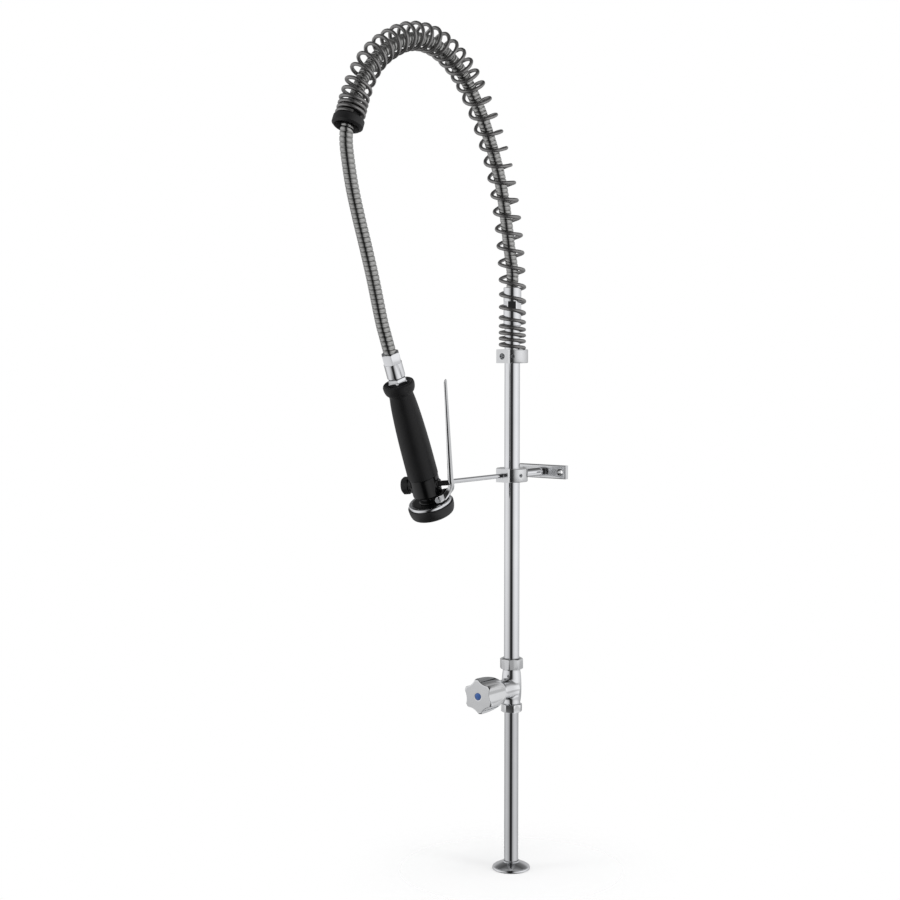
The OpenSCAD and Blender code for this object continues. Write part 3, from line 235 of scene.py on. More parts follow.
height = add(tree, "SeparateXYZ", {0: direction})
floor_to_ceiling = add(tree, "MapRange", {"Value": height.outputs["Z"], "From Min": -1, "From Max": 1})
levels = add(tree, "ValToRGB", {"Fac": floor_to_ceiling.outputs[0]})
stops(levels, [(place, (grey, grey, grey, 1)) for place, grey in ((0.0, 0.10), (0.08, 0.10), (0.15, 0.90),
    (0.27, 0.98), (0.32, 0.68), (0.395, 0.68), (0.41, 0.88), (0.44, 1), (0.66, 1), (0.78, 0.35), (0.90, 0.15),
    (1.0, 0.4))])
seen_by = add(tree, "LightPath")
room = add(tree, "Mix", {"Factor": seen_by.outputs["Is Glossy Ray"], 6: walls.outputs["Color"],
    7: levels.outputs["Color"]}, data_type="RGBA", blend_type="MULTIPLY")
lit = add(tree, "Mix", {"Factor": seen_by.outputs["Is Camera Ray"], 6: room.outputs[2],
    7: (1, 1, 1, 1)}, data_type="RGBA")
background = add(tree, "Background", {"Color": lit.outputs[2], "Strength": 1.0})
add(tree, "OutputWorld", {"Surface": background.outputs[0]})
print("stops round the room:", len(walls.color_ramp.elements), "upwards:", len(levels.color_ramp.elements))

# %% [markdown]
# ## The floor and the lamps
#
# The faucet stands on a pale floor that only has to catch a soft shadow. Near the foot it is half clear,
# and away from the foot it lets every ray through to the white room. Mirrors always look through it, so
# that the chrome keeps its black line down to the flange.

# %% The floor
FLOOR_R, FADE_FROM, FADE_TO, CLEAR_AT_FOOT = 1.2, 0.05, 0.25, 0.5

bm = bmesh.new()
bmesh.ops.create_circle(bm, cap_ends=True, segments=64, radius=FLOOR_R)
floor_mesh = bpy.data.meshes.new("floor")
bm.to_mesh(floor_mesh)
bm.free()
floor = bpy.data.objects.new("floor", floor_mesh)
scene.collection.objects.link(floor)

pale_floor, tree = new_material("pale floor")
place = add(tree, "TexCoord").outputs["Object"]
distance = add(tree, "VectorMath", {0: place}, operation="LENGTH")
fading = add(tree, "MapRange", {"Value": distance.outputs["Value"], "From Min": FADE_FROM,
    "From Max": FADE_TO, "To Min": CLEAR_AT_FOOT}, interpolation_type="SMOOTHSTEP")
seen_by = add(tree, "LightPath")
mirrored = add(tree, "Math", {0: seen_by.outputs["Is Glossy Ray"],
    1: seen_by.outputs["Is Transmission Ray"]}, operation="MAXIMUM")
through = add(tree, "Math", {0: fading.outputs[0], 1: mirrored.outputs[0]}, operation="MAXIMUM")
paint = add(tree, "BsdfDiffuse", {"Color": colour("FAFAFA")})
clear = add(tree, "BsdfTransparent", {"Color": (1, 1, 1, 1)})
both = add(tree, "MixShader", {0: through.outputs[0], 1: paint.outputs[0], 2: clear.outputs[0]})
add(tree, "OutputMaterial", {"Surface": both.outputs[0]})
floor_mesh.materials.append(pale_floor)
print("floor:", 2 * FLOOR_R, "m across, clear from", FADE_TO, "m off the riser")

# %% Soft lamps left, right and above


def soft_lamp(name, place, aim, width, height, watts):
    """A rectangular softbox that points at a spot on the faucet."""
    data = bpy.data.lights.new(name, "AREA")
    data.shape = "RECTANGLE"
    data.size, data.size_y, data.energy = width, height, watts
    lamp = bpy.data.objects.new(name, data)
    lamp.location = place
    lamp.rotation_euler = (Vector(aim) - Vector(place)).to_track_quat("-Z", "Y").to_euler()
    lamp.visible_glossy = False
    scene.collection.objects.link(lamp)


soft_lamp("left softbox", (-1.5, -1.9, 1.0), (0, -0.1, 0.6), 0.7, 1.8, 16)
soft_lamp("right softbox", (1.9, 0.1, 0.9), (0, -0.1, 0.6), 0.6, 1.8, 14)
soft_lamp("top softbox", (0.3, -0.6, 2.6), (0, -0.1, 0.4), 1.0, 1.0, 18)
print("lamps:", len(bpy.data.lights))

# %% [markdown]
# ## Plated and bare metals
#
# Most of the faucet is brass that was polished and chromium plated. Chrome is a slightly blue white metal
# with mirror gloss. What gives it away as a real surface is a faint unevenness of the polish and the film
# that dried water leaves, so its roughness wanders a little over a few centimetres. The star handle, the
# lever and the nuts were buffed on a softer wheel and are a little less sharp. The rings round the riser
# and the wall plate were left satin. The grain of a satin finish is about 0.1 mm, too fine to show at this
# distance, so it is drawn at about 0.6 mm.

# %% Chrome, polished, buffed and satin
UNDER_FILM, METAL_GRAIN = 0.93, 0.02 * mm


def metal(name, code, low, high, patch_mm, grain_mm, bump):
    """A metal whose roughness wanders between two values over patches, with a fine grain in its skin."""
    made, tree = new_material(name)
    place = add(tree, "TexCoord").outputs["Object"]
    film = add(tree, "TexNoise", {"Vector": place, "Scale": 1 / (patch_mm * mm), "Detail": 4.0,
        "Roughness": 0.6})
    grain = add(tree, "TexNoise", {"Vector": place, "Scale": 1 / (grain_mm * mm), "Detail": 2.0})
    gloss = add(tree, "MapRange", {"Value": film.outputs["Fac"], "From Min": 0.3, "From Max": 0.7,
        "To Min": low, "To Max": high})
    tint = add(tree, "ValToRGB", {"Fac": film.outputs["Fac"]})
    clean = colour(code)
    stops(tint, [(0.25, [c * UNDER_FILM for c in clean[:3]] + [1]), (0.75, clean)])
    pressed = add(tree, "Bump", {"Height": grain.outputs["Fac"], "Strength": bump,
        "Distance": METAL_GRAIN})
    surface = add(tree, "BsdfPrincipled", {"Base Color": tint.outputs["Color"], "Metallic": 1.0,
        "Roughness": gloss.outputs[0], "Normal": pressed.outputs[0]})
    add(tree, "OutputMaterial", {"Surface": surface.outputs[0]})
    return made


polished_chrome = metal("polished chrome plate", "F1F2F4", 0.045, 0.10, 34, 1.2, 0.08)
buffed_chrome = metal("buffed chrome plate", "F0F1F2", 0.06, 0.10, 26, 0.9, 0.10)
nut_chrome = metal("chrome on a machined nut", "EEEFF0", 0.10, 0.15, 20, 0.7, 0.2)
satin_chrome = metal("satin chrome plate", "E6E7E8", 0.15, 0.20, 22, 0.6, 0.3)
print("chrome:", ", ".join(m.name for m in (polished_chrome, buffed_chrome, nut_chrome, satin_chrome)))

# %% [markdown]
# The spring is drawn steel wire with a dull zinc-nickel skin, darker than chrome. The hose is wound from a
# thin plated strip, bright but never flat, so it scatters more than the tubes. The screws, the circlip and
# the spray plate are plain steel. The hose tails take the matte black, a dark ring that stands in for the
# shade in the gap at the hose nut's top: painted shade. The bonnet, the spindle, the piston and the olives
# are brass.

# %% Steels and brass
spring_steel = metal("drawn spring steel", "9C9B9A", 0.30, 0.40, 16, 0.9, 0.4)
hose_strip = metal("wound chrome strip", "B4B4B2", 0.14, 0.22, 18, 0.8, 0.3)
plain_steel = metal("plain steel", "BFC1C3", 0.20, 0.32, 12, 0.7, 0.4)
turned_brass = metal("turned brass", "D9B45C", 0.16, 0.28, 14, 0.6, 0.4)
print("metals so far:", len([m for m in bpy.data.materials if m.use_nodes]))

# %% [markdown]
# ## Rubber, fibre and plastic
#
# The gun's body is a casting under a gloss black coat. The grip is moulded rubber, a charcoal black with a
# leathery grain of about 0.8 mm. Both stay deep black in a white room, so they mirror less than most
# plastics do and their IOR is below the usual 1.5. The bumper round the spray face is a harder rubber.
# Seals, washers and rings inside are soft black rubber, and the gasket under the bonnet is pressed red
# fibre. The index button is a clear-coated blue plastic disc.

# %% Black coat, rubbers and the small soft parts
MOTTLE_MM, SKIN_GRAIN = 14, 0.05 * mm


def moulded(name, dark, light, low, high, grain_mm, bump, coat=0.0, coat_roughness=0.1, sheen=0.0,
            ior=1.5):
    """A moulded or coated surface with a little mottling, from a dark and sharp to a light and dull
    spot, and a grain."""
    made, tree = new_material(name)
    place = add(tree, "TexCoord").outputs["Object"]
    mottle = add(tree, "TexNoise", {"Vector": place, "Scale": 1 / (MOTTLE_MM * mm), "Detail": 5.0})
    grain = add(tree, "TexVoronoi", {"Vector": place, "Scale": 1 / (grain_mm * mm)},
        feature="SMOOTH_F1")
    tint = add(tree, "ValToRGB", {"Fac": mottle.outputs["Fac"]})
    stops(tint, [(0.3, colour(dark)), (0.7, colour(light))])
    gloss = add(tree, "MapRange", {"Value": mottle.outputs["Fac"], "From Min": 0.3, "From Max": 0.7,
        "To Min": low, "To Max": high})
    pressed = add(tree, "Bump", {"Height": grain.outputs["Distance"], "Strength": bump,
        "Distance": SKIN_GRAIN})
    surface = add(tree, "BsdfPrincipled", {"Base Color": tint.outputs["Color"],
        "Roughness": gloss.outputs[0], "IOR": ior, "Normal": pressed.outputs[0], "Coat Weight": coat,
        "Coat Roughness": coat_roughness, "Sheen Weight": sheen, "Sheen Roughness": 0.5})
    add(tree, "OutputMaterial", {"Surface": surface.outputs[0]})
    return made


black_coat = moulded("gloss black coat", "060607", "0B0B0C", 0.10, 0.18, 1.5, 0.05, coat=0.15,
    coat_roughness=0.06, ior=1.4)
# This matte black also goes on the hose tails, where it is painted shade: a dark ring in place of the shadow
# in the gap at the hose nut's top.
black_plastic_and_shade = moulded("matte black plastic and painted shade", "131314", "1B1B1C", 0.42, 0.55, 0.8, 0.3)
grip_rubber = moulded("charcoal grip rubber", "111112", "161617", 0.40, 0.50, 0.8, 0.5, sheen=0.03,
    ior=1.38)
bumper_rubber = moulded("bumper rubber", "171718", "1D1D1E", 0.38, 0.48, 0.9, 0.3)
seal_rubber = moulded("seal rubber", "161617", "1E1E1F", 0.50, 0.65, 0.6, 0.3)
red_fibre = moulded("pressed red fibre", "7A2A20", "93382B", 0.70, 0.85, 0.5, 0.6)
blue_plastic = moulded("blue index plastic", "27559B", "2E62AE", 0.25, 0.32, 1.2, 0.05, coat=0.5,
    coat_roughness=0.08)

FINISHES = {
    "chrome": polished_chrome, "satin_chrome": satin_chrome, "spring_steel": spring_steel,
    "hose_steel": hose_strip, "steel": plain_steel, "brass": turned_brass,
    "black_gloss": black_coat, "black_matte": black_plastic_and_shade, "black_rubber": bumper_rubber,
    "seal_rubber": seal_rubber, "fibre": red_fibre, "blue_plastic": blue_plastic,
}
print("finishes:", len(FINISHES))

# %% [markdown]
# ## Five ways to make a piece
#
# Every dressed piece takes the place of a solid of the frame, moves with the same body and keeps its
# finish. A *machined* piece is the solid itself with its loose triangles merged and its edges broken by a
# small round, which is where metal catches light. A *cast* piece is that solid remeshed into even cells
# and relaxed, so that its corners melt into fillets as they do in a casting. A *turned* piece is an outline
# spun round an axis. The *forged* lever is bridged from one section to the next. The springs and the hose
# are *wound*. A spin, a bend or a mirror can leave a piece inside out, which hardly shows in a render but
# spoils the mesh elsewhere, so the pieces that are made anew have their volume's sign checked.

# %% Stand a finished piece in for its solid
SAME_PLACE = 0.002 * mm
slot_of = {part["node"]: part["material_slot"] for part in frame["record"]["subparts"]}
body_of = {node: body for body, nodes in frame["record"]["behaviour"]["bodies"].items() for node in nodes}


def stand_in(obj, node, material=None):
    """The piece takes the solid's body, slot and finish, and the solid is hidden."""
    obj.data.materials.clear()
    obj.data.materials.append(material or FINISHES[slot_of[node]])
    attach(obj, body_of[node])
    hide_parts(node)
    print(f"{obj.name}: {len(obj.data.polygons)} faces, moves with {body_of[node]}")
    return obj


def piece_from(bm, name, smooth_below=35):
    """Makes an object of a bmesh; faces that meet at less than an angle shade as one surface."""
    mesh = bpy.data.meshes.new(name)
    bm.to_mesh(mesh)
    bm.free()
    mesh.shade_smooth()
    mesh.set_sharp_from_angle(angle=math.radians(smooth_below))
    obj = bpy.data.objects.new(name, mesh)
    scene.collection.objects.link(obj)
    return obj


def face_outwards(bm):
    """Points all faces one way, and turns them round if the body's volume says that they point inwards."""
    bmesh.ops.recalc_face_normals(bm, faces=bm.faces)
    if bm.calc_volume(signed=True) < 0:
        bmesh.ops.reverse_faces(bm, faces=bm.faces)


def solid_of(node):
    """A copy of a solid with its loose triangles merged."""
    bm = bmesh.new()
    bm.from_mesh(frame["nodes"][node].data)
    bmesh.ops.remove_doubles(bm, verts=bm.verts, dist=SAME_PLACE)
    bmesh.ops.dissolve_degenerate(bm, edges=bm.edges, dist=SAME_PLACE)
    return bm


# %% Machined pieces


def break_edges(bm, sharper_than, width):
    """Rounds the edges that are sharper than an angle in degrees, in two steps."""
    sharp = [e for e in bm.edges if e.calc_face_angle(0) > math.radians(sharper_than)]
    bmesh.ops.bevel(bm, geom=sharp, offset=width, offset_type="OFFSET", segments=2, profile=0.5,
        affect="EDGES", clamp_overlap=True, material=-1)


def machined(node, edge_mm=0.25, material=None):
    """Joins the flat regions of a solid and breaks its edges. The rounds stay sharp in the shading, so
    that long tubes and flat faces mirror straight."""
    bm = solid_of(node)
    bmesh.ops.dissolve_limit(bm, angle_limit=math.radians(1), verts=bm.verts, edges=bm.edges,
        delimit={"NORMAL"})
    break_edges(bm, 32, edge_mm * mm)
    stand_in(piece_from(bm, node + "_finished", 20), node, material)


for node in ("lower_riser", "upper_riser", "bonnet", "bracket_ring", "bracket_set_screw", "bracket_arm",
             "hook_rod", "spring_collar", "collar_set_screw", "hose_union", "hose_nut", "grip_collar",
             "valve_cap", "plunger", "lever_pin", "spray_plate"):
    machined(node)
machined("lower_nut", material=nut_chrome)
machined("upper_nut", material=nut_chrome)
machined("wall_plate", 0.4)

# %% [markdown]
# ## Cast pieces
#
# The valve body, the star handle and the gun's body are cast, then polished or coated.
# A bevel can't round the seams where the valve's branch runs into its body, because they are curved on both
# sides. A voxel remesh gives even cells over the whole solid instead, and rounds of smoothing pull every
# sharp corner into a fillet. The valve body has the coarsest cells and the most rounds, because its fillets
# are the widest.

# %% Cast pieces


def cast(node, cell_mm, rounds, material=None):
    """Remeshes a solid into even cells and relaxes them."""
    obj = piece_from(solid_of(node), node + "_finished", 180)
    remesh = obj.modifiers.new("even cells", "REMESH")
    remesh.mode, remesh.voxel_size, remesh.adaptivity = "VOXEL", cell_mm * mm, 0
    even = bpy.data.meshes.new_from_object(obj.evaluated_get(bpy.context.evaluated_depsgraph_get()))
    obj.modifiers.clear()
    bm = bmesh.new()
    bm.from_mesh(even)
    for _ in range(rounds):
        bmesh.ops.smooth_vert(bm, verts=bm.verts, factor=0.5, use_axis_x=True, use_axis_y=True,
            use_axis_z=True)
    bm.to_mesh(obj.data)
    bm.free()
    obj.data.shade_smooth()
    stand_in(obj, node, material)


cast("valve_body", 0.75, 14)
cast("handle", 0.45, 3, buffed_chrome)
cast("gun_body", 0.7, 4)

# %% [markdown]
# ## Turned pieces
#
# The deck flange is a shallow pressed cone with a rolled rim. The grip is moulded round the gun's tube: a
# long tapering sleeve, a narrow waist and a bulb with a dished top. The bumper is a bowl of rubber round
# the spray face, and the spring's end cap is a black bush with a wide mouth. Each could be its own solid
# with broken edges, but a soft swell wants a smoother outline than the solid has. So each is drawn as one
# closed outline and spun in 96 steps, or 48 for the small button. The gun's pieces are spun upright and then
# leaned over into the gun's own frame.

# %% Outlines spun round an axis
GUN_FOOT, GUN_LEAN = (0, -0.168032, 0.484934), math.radians(23)
TAP_HEIGHT, QUARTER_TURN = 0.242, math.radians(90)
GUN_FRAME = Matrix.Translation(GUN_FOOT) @ Matrix.Rotation(GUN_LEAN, 4, "X")
TAP_FRAME = Matrix.Translation((0, 0, TAP_HEIGHT)) @ Matrix.Rotation(QUARTER_TURN, 4, "X")


def arc(centre, radius, start, end, steps=8):
    """Points on an arc of an outline, in degrees; a pair of radii makes it an ellipse."""
    across, up = radius if isinstance(radius, tuple) else (radius, radius)
    angles = [math.radians(start + (end - start) * i / steps) for i in range(steps + 1)]
    return [(centre[0] + across * math.cos(a), centre[1] + up * math.sin(a)) for a in angles]


def flowing(points, steps=5):
    """A smooth curve through the points of an open stretch of outline."""
    return [(v.x, v.y) for v in smooth_curve([Vector((*point, 0)) for point in points], steps)]


def turned(node, outline, place=Matrix.Identity(4), steps=96, material=None):
    """Spins a closed outline of (radius, height) millimetres about Z and puts it in its place."""
    bm = bmesh.new()
    verts = [bm.verts.new((r * mm, 0, z * mm)) for r, z in outline]
    edges = [bm.edges.new((a, b)) for a, b in zip(verts, verts[1:] + verts[:1])]
    bmesh.ops.spin(bm, geom=verts + edges, cent=(0, 0, 0), axis=(0, 0, 1), angle=math.tau, steps=steps,
        use_merge=True)
    bmesh.ops.remove_doubles(bm, verts=bm.verts, dist=SAME_PLACE / 2)
    bmesh.ops.dissolve_degenerate(bm, edges=bm.edges, dist=SAME_PLACE / 2)
    face_outwards(bm)
    bmesh.ops.transform(bm, matrix=place, verts=bm.verts)
    stand_in(piece_from(bm, node + "_finished"), node, material)


# %% The deck flange
cone = flowing([(24.2, 4.4), (21.5, 6.2), (17, 8.3), (12.5, 9.9), (10.6, 10.6)], 4)
turned("deck_flange",
    [(9.35, 0), (12.2, 0), (12.2, 1.5), (22, 1.5), (22, 0)] + arc((23, 2.2), (2, 2.2), -90, 62, 10)
    + cone + arc((10.2, 11.2), (0.9, 0.8), 0, 90, 4) + [(9.35, 11.5)])

# %% The index button
turned("index_button", [(0, 72), (4.3, 72)] + arc((4.1, 74.6), 0.4, 0, 70, 4)
    + [(3.4, 75.25), (2.4, 75.45), (1.2, 75.57), (0, 75.6)], TAP_FRAME, 48)

# %% The grip
BODY_TOP = 52.4
sleeve = flowing([(18.8, 2.6), (18.75, 14), (18.6, 36), (18.1, 58), (17.25, 78), (16.2, 94), (15.3, 102.5),
    (14.75, 107), (14.9, 109.2)])
bulb = arc((14.3, 120.5), (5, 10.5), -76, 0, 8) + arc((17.3, 120.5), (2, 3.5), 0, 90, 6)[1:]
dish = [(16.6, 123.8), (13.4, 121.3), (12.8, 120.8), (12.4, 120.5)]
turned("grip", [(11, 0), (18.2, 0)] + arc((18.2, 0.6), 0.6, -90, 0, 4)[1:] + sleeve + bulb + dish
    + [(8.95, 120.5), (8.95, 117.5), (11, 117.5)], GUN_FRAME @ Matrix.Translation((0, 0, BODY_TOP * mm)),
    material=grip_rubber)

# %% The head ring and the bumper
turned("head_ring", [(7, 5), (21, 5), (21, 2.5), (24, 2.5), (24, 14), (26.1, 14)]
    + arc((26.1, 14.7), 0.7, -90, 0, 4)[1:] + arc((25.3, 16.5), 1.5, 0, 90, 6)
    + [(22.9, 18), (22.6, 17.7), (22.6, 16.4), (10, 16.4), (10, 9), (7, 9)], GUN_FRAME)
turned("bumper", [(19, 0.5), (19.5, 0)] + flowing([(23.8, 0), (25.2, 0.35), (26.4, 1.6), (27.4, 4.2),
    (28.1, 7.4), (28.4, 10.2)]) + arc((27.3, 12.6), (1.2, 1.4), 0, 90, 6) + [(24, 14), (24, 2.5), (19, 2.5)],
    GUN_FRAME)

# %% [markdown]
# ## The squeeze lever
#
# The lever is forged: a flat bar whose sides come to a blunt ridge, and a yoke that takes the gun's lug
# between two cheeks. It could be cast like the handle, but a remesh would melt the ridge that splits each
# side into a dark and a bright face, so it is bridged from one section to the next. In the middle of the
# bar the ridge runs down the middle too. Round the yoke it moves to the outer edge, and the side becomes
# one face. Seen from the side the sections go round the yoke as an arc and then up the bar. Seen from the
# front they are as wide as the two cheeks at first and are soon drawn in to the bar. The eyes round the pin
# are shallow domes.
#
# The numbers are millimetres in the lever's frame. A point of the side view says how far out from the gun
# and how far up it lies. A side slants by 23 degrees and falls by no more than a quarter of the thickness.

# %% The yoke's outline and the sections
LEVER_TURN = math.radians(14)
LEVER_FRAME = GUN_FRAME @ Matrix.Rotation(LEVER_TURN, 4, "Z")
PIVOT = Vector((17, 23.4))
CHEEK_IN, CHEEK_OUT, BAR_HALF, NECK_FROM, NECK_LONG = 9.5, 12.5, 4.5, 3, 13
BEND, BEND_R = PIVOT + Vector((0, 19.6)), 15.2
BACK, BACK_R = BEND + Vector((-2.5, -1.5)), 22.5
SLANT, DEEPEST = 0.424, 0.25


def yoke(degrees):
    """The inner and the outer point of the yoke, seen from the side, at an angle round its bend."""
    ray = Vector((math.cos(math.radians(degrees)), math.sin(math.radians(degrees))))
    return BEND + BEND_R * ray, BACK + BACK_R * ray


def half_width(inner, outer):
    """How far a section of the yoke stands out: wide at the pin, drawn in to the bar's width above."""
    above = (inner.y + outer.y) / 2 - PIVOT.y - NECK_FROM
    drawn = min(1, max(0, above / NECK_LONG))
    return BAR_HALF + (CHEEK_OUT - BAR_HALF) * (1 - drawn) ** 2


def pointed(inner, outer, half, share):
    """A section with a ridge along each side, at a share of the way from the inner to the outer edge."""
    thick = (outer - inner).length
    one_side = [(inner, half - min(DEEPEST, SLANT * share) * thick), (inner.lerp(outer, share), half),
        (outer, half - SLANT * (1 - share) * thick)]
    return ([(place.x, y, place.y) for place, y in one_side]
            + [(place.x, -y, place.y) for place, y in reversed(one_side)])


def bridged(bm, rings):
    """Bridges rings of points, in millimetres in the lever's frame, to one closed body."""
    loops = []
    for ring in rings:
        verts = [bm.verts.new(LEVER_FRAME @ (Vector(point) * mm)) for point in ring]
        loops.append([bm.edges.new((verts[i - 1], verts[i])) for i in range(len(verts))])
    for low, high in zip(loops, loops[1:]):
        bmesh.ops.bridge_loops(bm, edges=low + high)
    for end in (loops[0], loops[-1]):
        bmesh.ops.contextual_create(bm, geom=end)


print("yoke: inner radius", BEND_R, "mm, outer radius", BACK_R, "mm")

# %% The yoke's closed end and the bar
YOKE_FROM, YOKE_TO, YOKE_STEP, EDGE_SHARE, MIDDLE = -62, -2, 6, 0.88, 0.5
BAR_FOOT, BAR_LONG, BAR_LEAN = Vector((34.55, 42.5)), 132, 0.205
FOOT_THICK, FOOT_WIDE, THINNER, NARROWER = 4.7, 9, 2.3, 3.5
TIP_THICK, TIP_WIDE = 0.6, 0.7

bm = bmesh.new()
sections = []
for degrees in range(YOKE_FROM, YOKE_TO + 1, YOKE_STEP):
    share = EDGE_SHARE - (EDGE_SHARE - MIDDLE) * (degrees - YOKE_FROM) / (YOKE_TO - YOKE_FROM)
    sections.append(pointed(*yoke(degrees), half_width(*yoke(degrees)), share))
for part in (0.01, 0.25, 0.5, 0.75, 0.985, 1.0):
    thick, wide = FOOT_THICK - THINNER * part, FOOT_WIDE - NARROWER * part
    if part == 1:
        thick, wide = TIP_THICK * thick, TIP_WIDE * wide
    across = Vector((thick / 2, 0))
    middle = BAR_FOOT + Vector((BAR_LEAN, 1)) * BAR_LONG * part
    sections.append(pointed(middle - across, middle + across, wide / 2, MIDDLE))
bridged(bm, sections)
print("sections of the lever:", len(sections))

# %% The two cheeks and their eyes round the pin
CHEEK_FROM, CHEEK_TO = -86, -56
EYE_R, EYE_STEPS, DOME_IN, DOME_UP = 4.4, 32, 3.2, 2.4

eye = [(CHEEK_IN, EYE_R)] + arc((CHEEK_OUT - DOME_UP, EYE_R - DOME_IN), (DOME_UP, DOME_IN), 90, 8, 10)
turns = [math.tau * i / EYE_STEPS for i in range(EYE_STEPS)]
for side in (1, -1):
    cheek = []
    for degrees in range(CHEEK_FROM, CHEEK_TO + 1, YOKE_STEP):
        inner, outer = yoke(degrees)
        outside = pointed(inner, outer, half_width(inner, outer), EDGE_SHARE)[:3]
        ring = [(inner.x, CHEEK_IN, inner.y)] + outside + [(outer.x, CHEEK_IN, outer.y)]
        cheek.append([(x, side * y, z) for x, y, z in ring])
    bridged(bm, cheek)
    bridged(bm, [[(PIVOT.x + radius * math.cos(turn), side * out, PIVOT.y + radius * math.sin(turn))
        for turn in turns] for out, radius in eye])
face_outwards(bm)
break_edges(bm, 18, 0.2 * mm)
stand_in(piece_from(bm, "lever_finished", 14), "lever", buffed_chrome)

# %% The spring's end cap
tip = spring_route.at(spring_route.length)
lean = spring_route.heading(spring_route.length)
CAP_FRAME = Matrix.Translation(tip) @ lean.to_track_quat("Z", "X").to_matrix().to_4x4()
turned("spring_cap", [(9.875, -14), (11.35, -14), (11.7, -13.5), (11.7, 0.02), (17.4, 0.02)]
    + arc((17.5, 1.1), 1.0, -80, 0, 5) + arc((17.5, 8.2), 1.0, 0, 60, 4)
    + arc((15.6, 10.2), 0.8, 60, 150, 6) + flowing([(14.6, 10.0), (12.6, 6.4), (10.6, 2.2), (9.875, 0.2)]),
    CAP_FRAME)

# %% [markdown]
# ## The spring
#
# The spring is one length of 4.6 mm wire. Its curls sit close together at the collar, open out up the
# riser, and close up again over the arch. A spin that climbs would give one even pitch, so the wire is a
# poly curve along a helix whose pitch changes from curl to curl. It is laid round the route, thickened to a
# round wire and made a mesh. A spring maker grinds the last half turn flat so that it stands square, so
# whatever dips below the collar's top is pressed back up to it.

# %% Pitch and place of every curl
CURL_R, WIRE, FIRST_CURL_AT, GROUND_FLAT = 15.5, 4.6, 53, math.radians(30)
foot, tip_curls = [8.5, 7.5, 7.5, 9.5, 12, 15, 18, 21], [12, 8, 6.4, 6, 6]
rise, arch_count = [22.3] * 11, 16
arch = (spring_route.length / mm - WIRE - sum(foot) - sum(rise) - sum(tip_curls)) / arch_count
pitches = foot + rise + [arch] * arch_count + tip_curls
whole_curls = [WIRE / 2 * math.cos(GROUND_FLAT) * mm]
for pitch in pitches:
    whole_curls.append(whole_curls[-1] + pitch * mm)
print("curls:", len(pitches), "pitch over the arch:", round(arch, 2), "mm")


def wire_point(turn):
    """The wire's middle after a number of turns from the collar."""
    i = min(len(pitches) - 1, int(turn))
    s = whole_curls[i] + (turn - i) * pitches[i] * mm
    along = spring_route.heading(s)
    out = Vector((0, along.z, -along.y))
    angle = math.radians(FIRST_CURL_AT + 360 * turn)
    return spring_route.at(s) + CURL_R * mm * (math.cos(angle) * out + math.sin(angle) * Vector((1, 0, 0)))


# %% Wind the spring
def wire_through(points, radius, roundness):
    """A round wire with closed ends through a row of points, as a bmesh."""
    curve = bpy.data.curves.new("wire", "CURVE")
    curve.dimensions = "3D"
    curve.bevel_depth, curve.bevel_resolution, curve.use_fill_caps = radius, roundness, True
    strand = curve.splines.new("POLY")
    strand.points.add(len(points) - 1)
    for place, point in zip(strand.points, points):
        place.co = (*point, 1)
    wire = bpy.data.objects.new("wire", curve)
    scene.collection.objects.link(wire)
    bpy.context.view_layer.update()
    mesh = bpy.data.meshes.new_from_object(wire.evaluated_get(bpy.context.evaluated_depsgraph_get()))
    bpy.data.objects.remove(wire)
    bm = bmesh.new()
    bm.from_mesh(mesh)
    bmesh.ops.remove_doubles(bm, verts=bm.verts, dist=SAME_PLACE / 2)
    face_outwards(bm)
    return bm


PER_CURL, ARCH_BEHIND = 28, -30 * mm
bm = wire_through([wire_point(k / PER_CURL) for k in range(len(pitches) * PER_CURL + 1)], WIRE / 2 * mm, 3)
for vert in bm.verts:
    if vert.co.z < COLLAR_TOP and vert.co.y > ARCH_BEHIND:
        vert.co.z = COLLAR_TOP
stand_in(piece_from(bm, "spring_finished", 50), "spring")

# %% [markdown]
# ## The hose
#
# The hose is wound from a metal strip whose edges hook into each other, so it shows a broad flat band and
# a narrow groove that climbs round it like a screw thread. A bump map would leave its edge smooth, so the
# groove is modelled. One pitch of that wall is a short outline, and a spin that climbs one pitch winds a
# single turn of it. That turn is copied on top of itself, again and again, each time twice as long, and the
# straight hose is cut to length. A smooth bore is drawn through it and joined to it at both ends, and the
# whole is bent along its route.

# %% Wind the wall of the hose
HOSE_R, HOSE_BORE, TURNS, SIDES, TURN_SEAM = 7.75 * mm, 5.7 * mm, 146, 24, 0.005 * mm
pitch = hose_route.length / TURNS
band = [(0, 0.90), (0.09, 0.89), (0.13, 0.975), (0.17, 0.997), (0.52, 1.0), (0.88, 0.997), (0.94, 0.975),
    (0.97, 0.92)]
bm = bmesh.new()
verts = [bm.verts.new((HOSE_R * r, 0, pitch * (s - 1))) for s, r in band + [(1, band[0][1])]]
edges = [bm.edges.new(pair) for pair in zip(verts, verts[1:])]
bmesh.ops.spin(bm, geom=verts + edges, cent=(0, 0, 0), axis=(0, 0, 1), angle=math.tau, steps=SIDES,
    dvec=(0, 0, pitch / SIDES), use_merge=False)
wound = 1
while wound < TURNS + 2:
    more = bmesh.ops.duplicate(bm, geom=bm.verts[:] + bm.edges[:] + bm.faces[:])["geom"]
    bmesh.ops.translate(bm, vec=(0, 0, pitch * wound),
        verts=[g for g in more if isinstance(g, bmesh.types.BMVert)])
    wound *= 2
bmesh.ops.remove_doubles(bm, verts=bm.verts, dist=TURN_SEAM)
for z, up in ((0, -1), (hose_route.length, 1)):
    bmesh.ops.bisect_plane(bm, geom=bm.verts[:] + bm.edges[:] + bm.faces[:], plane_co=(0, 0, z),
        plane_no=(0, 0, up), clear_outer=True, dist=0.0001 * mm)
print("hose turns:", TURNS, "pitch:", round(pitch / mm, 2), "mm, faces:", len(bm.faces))

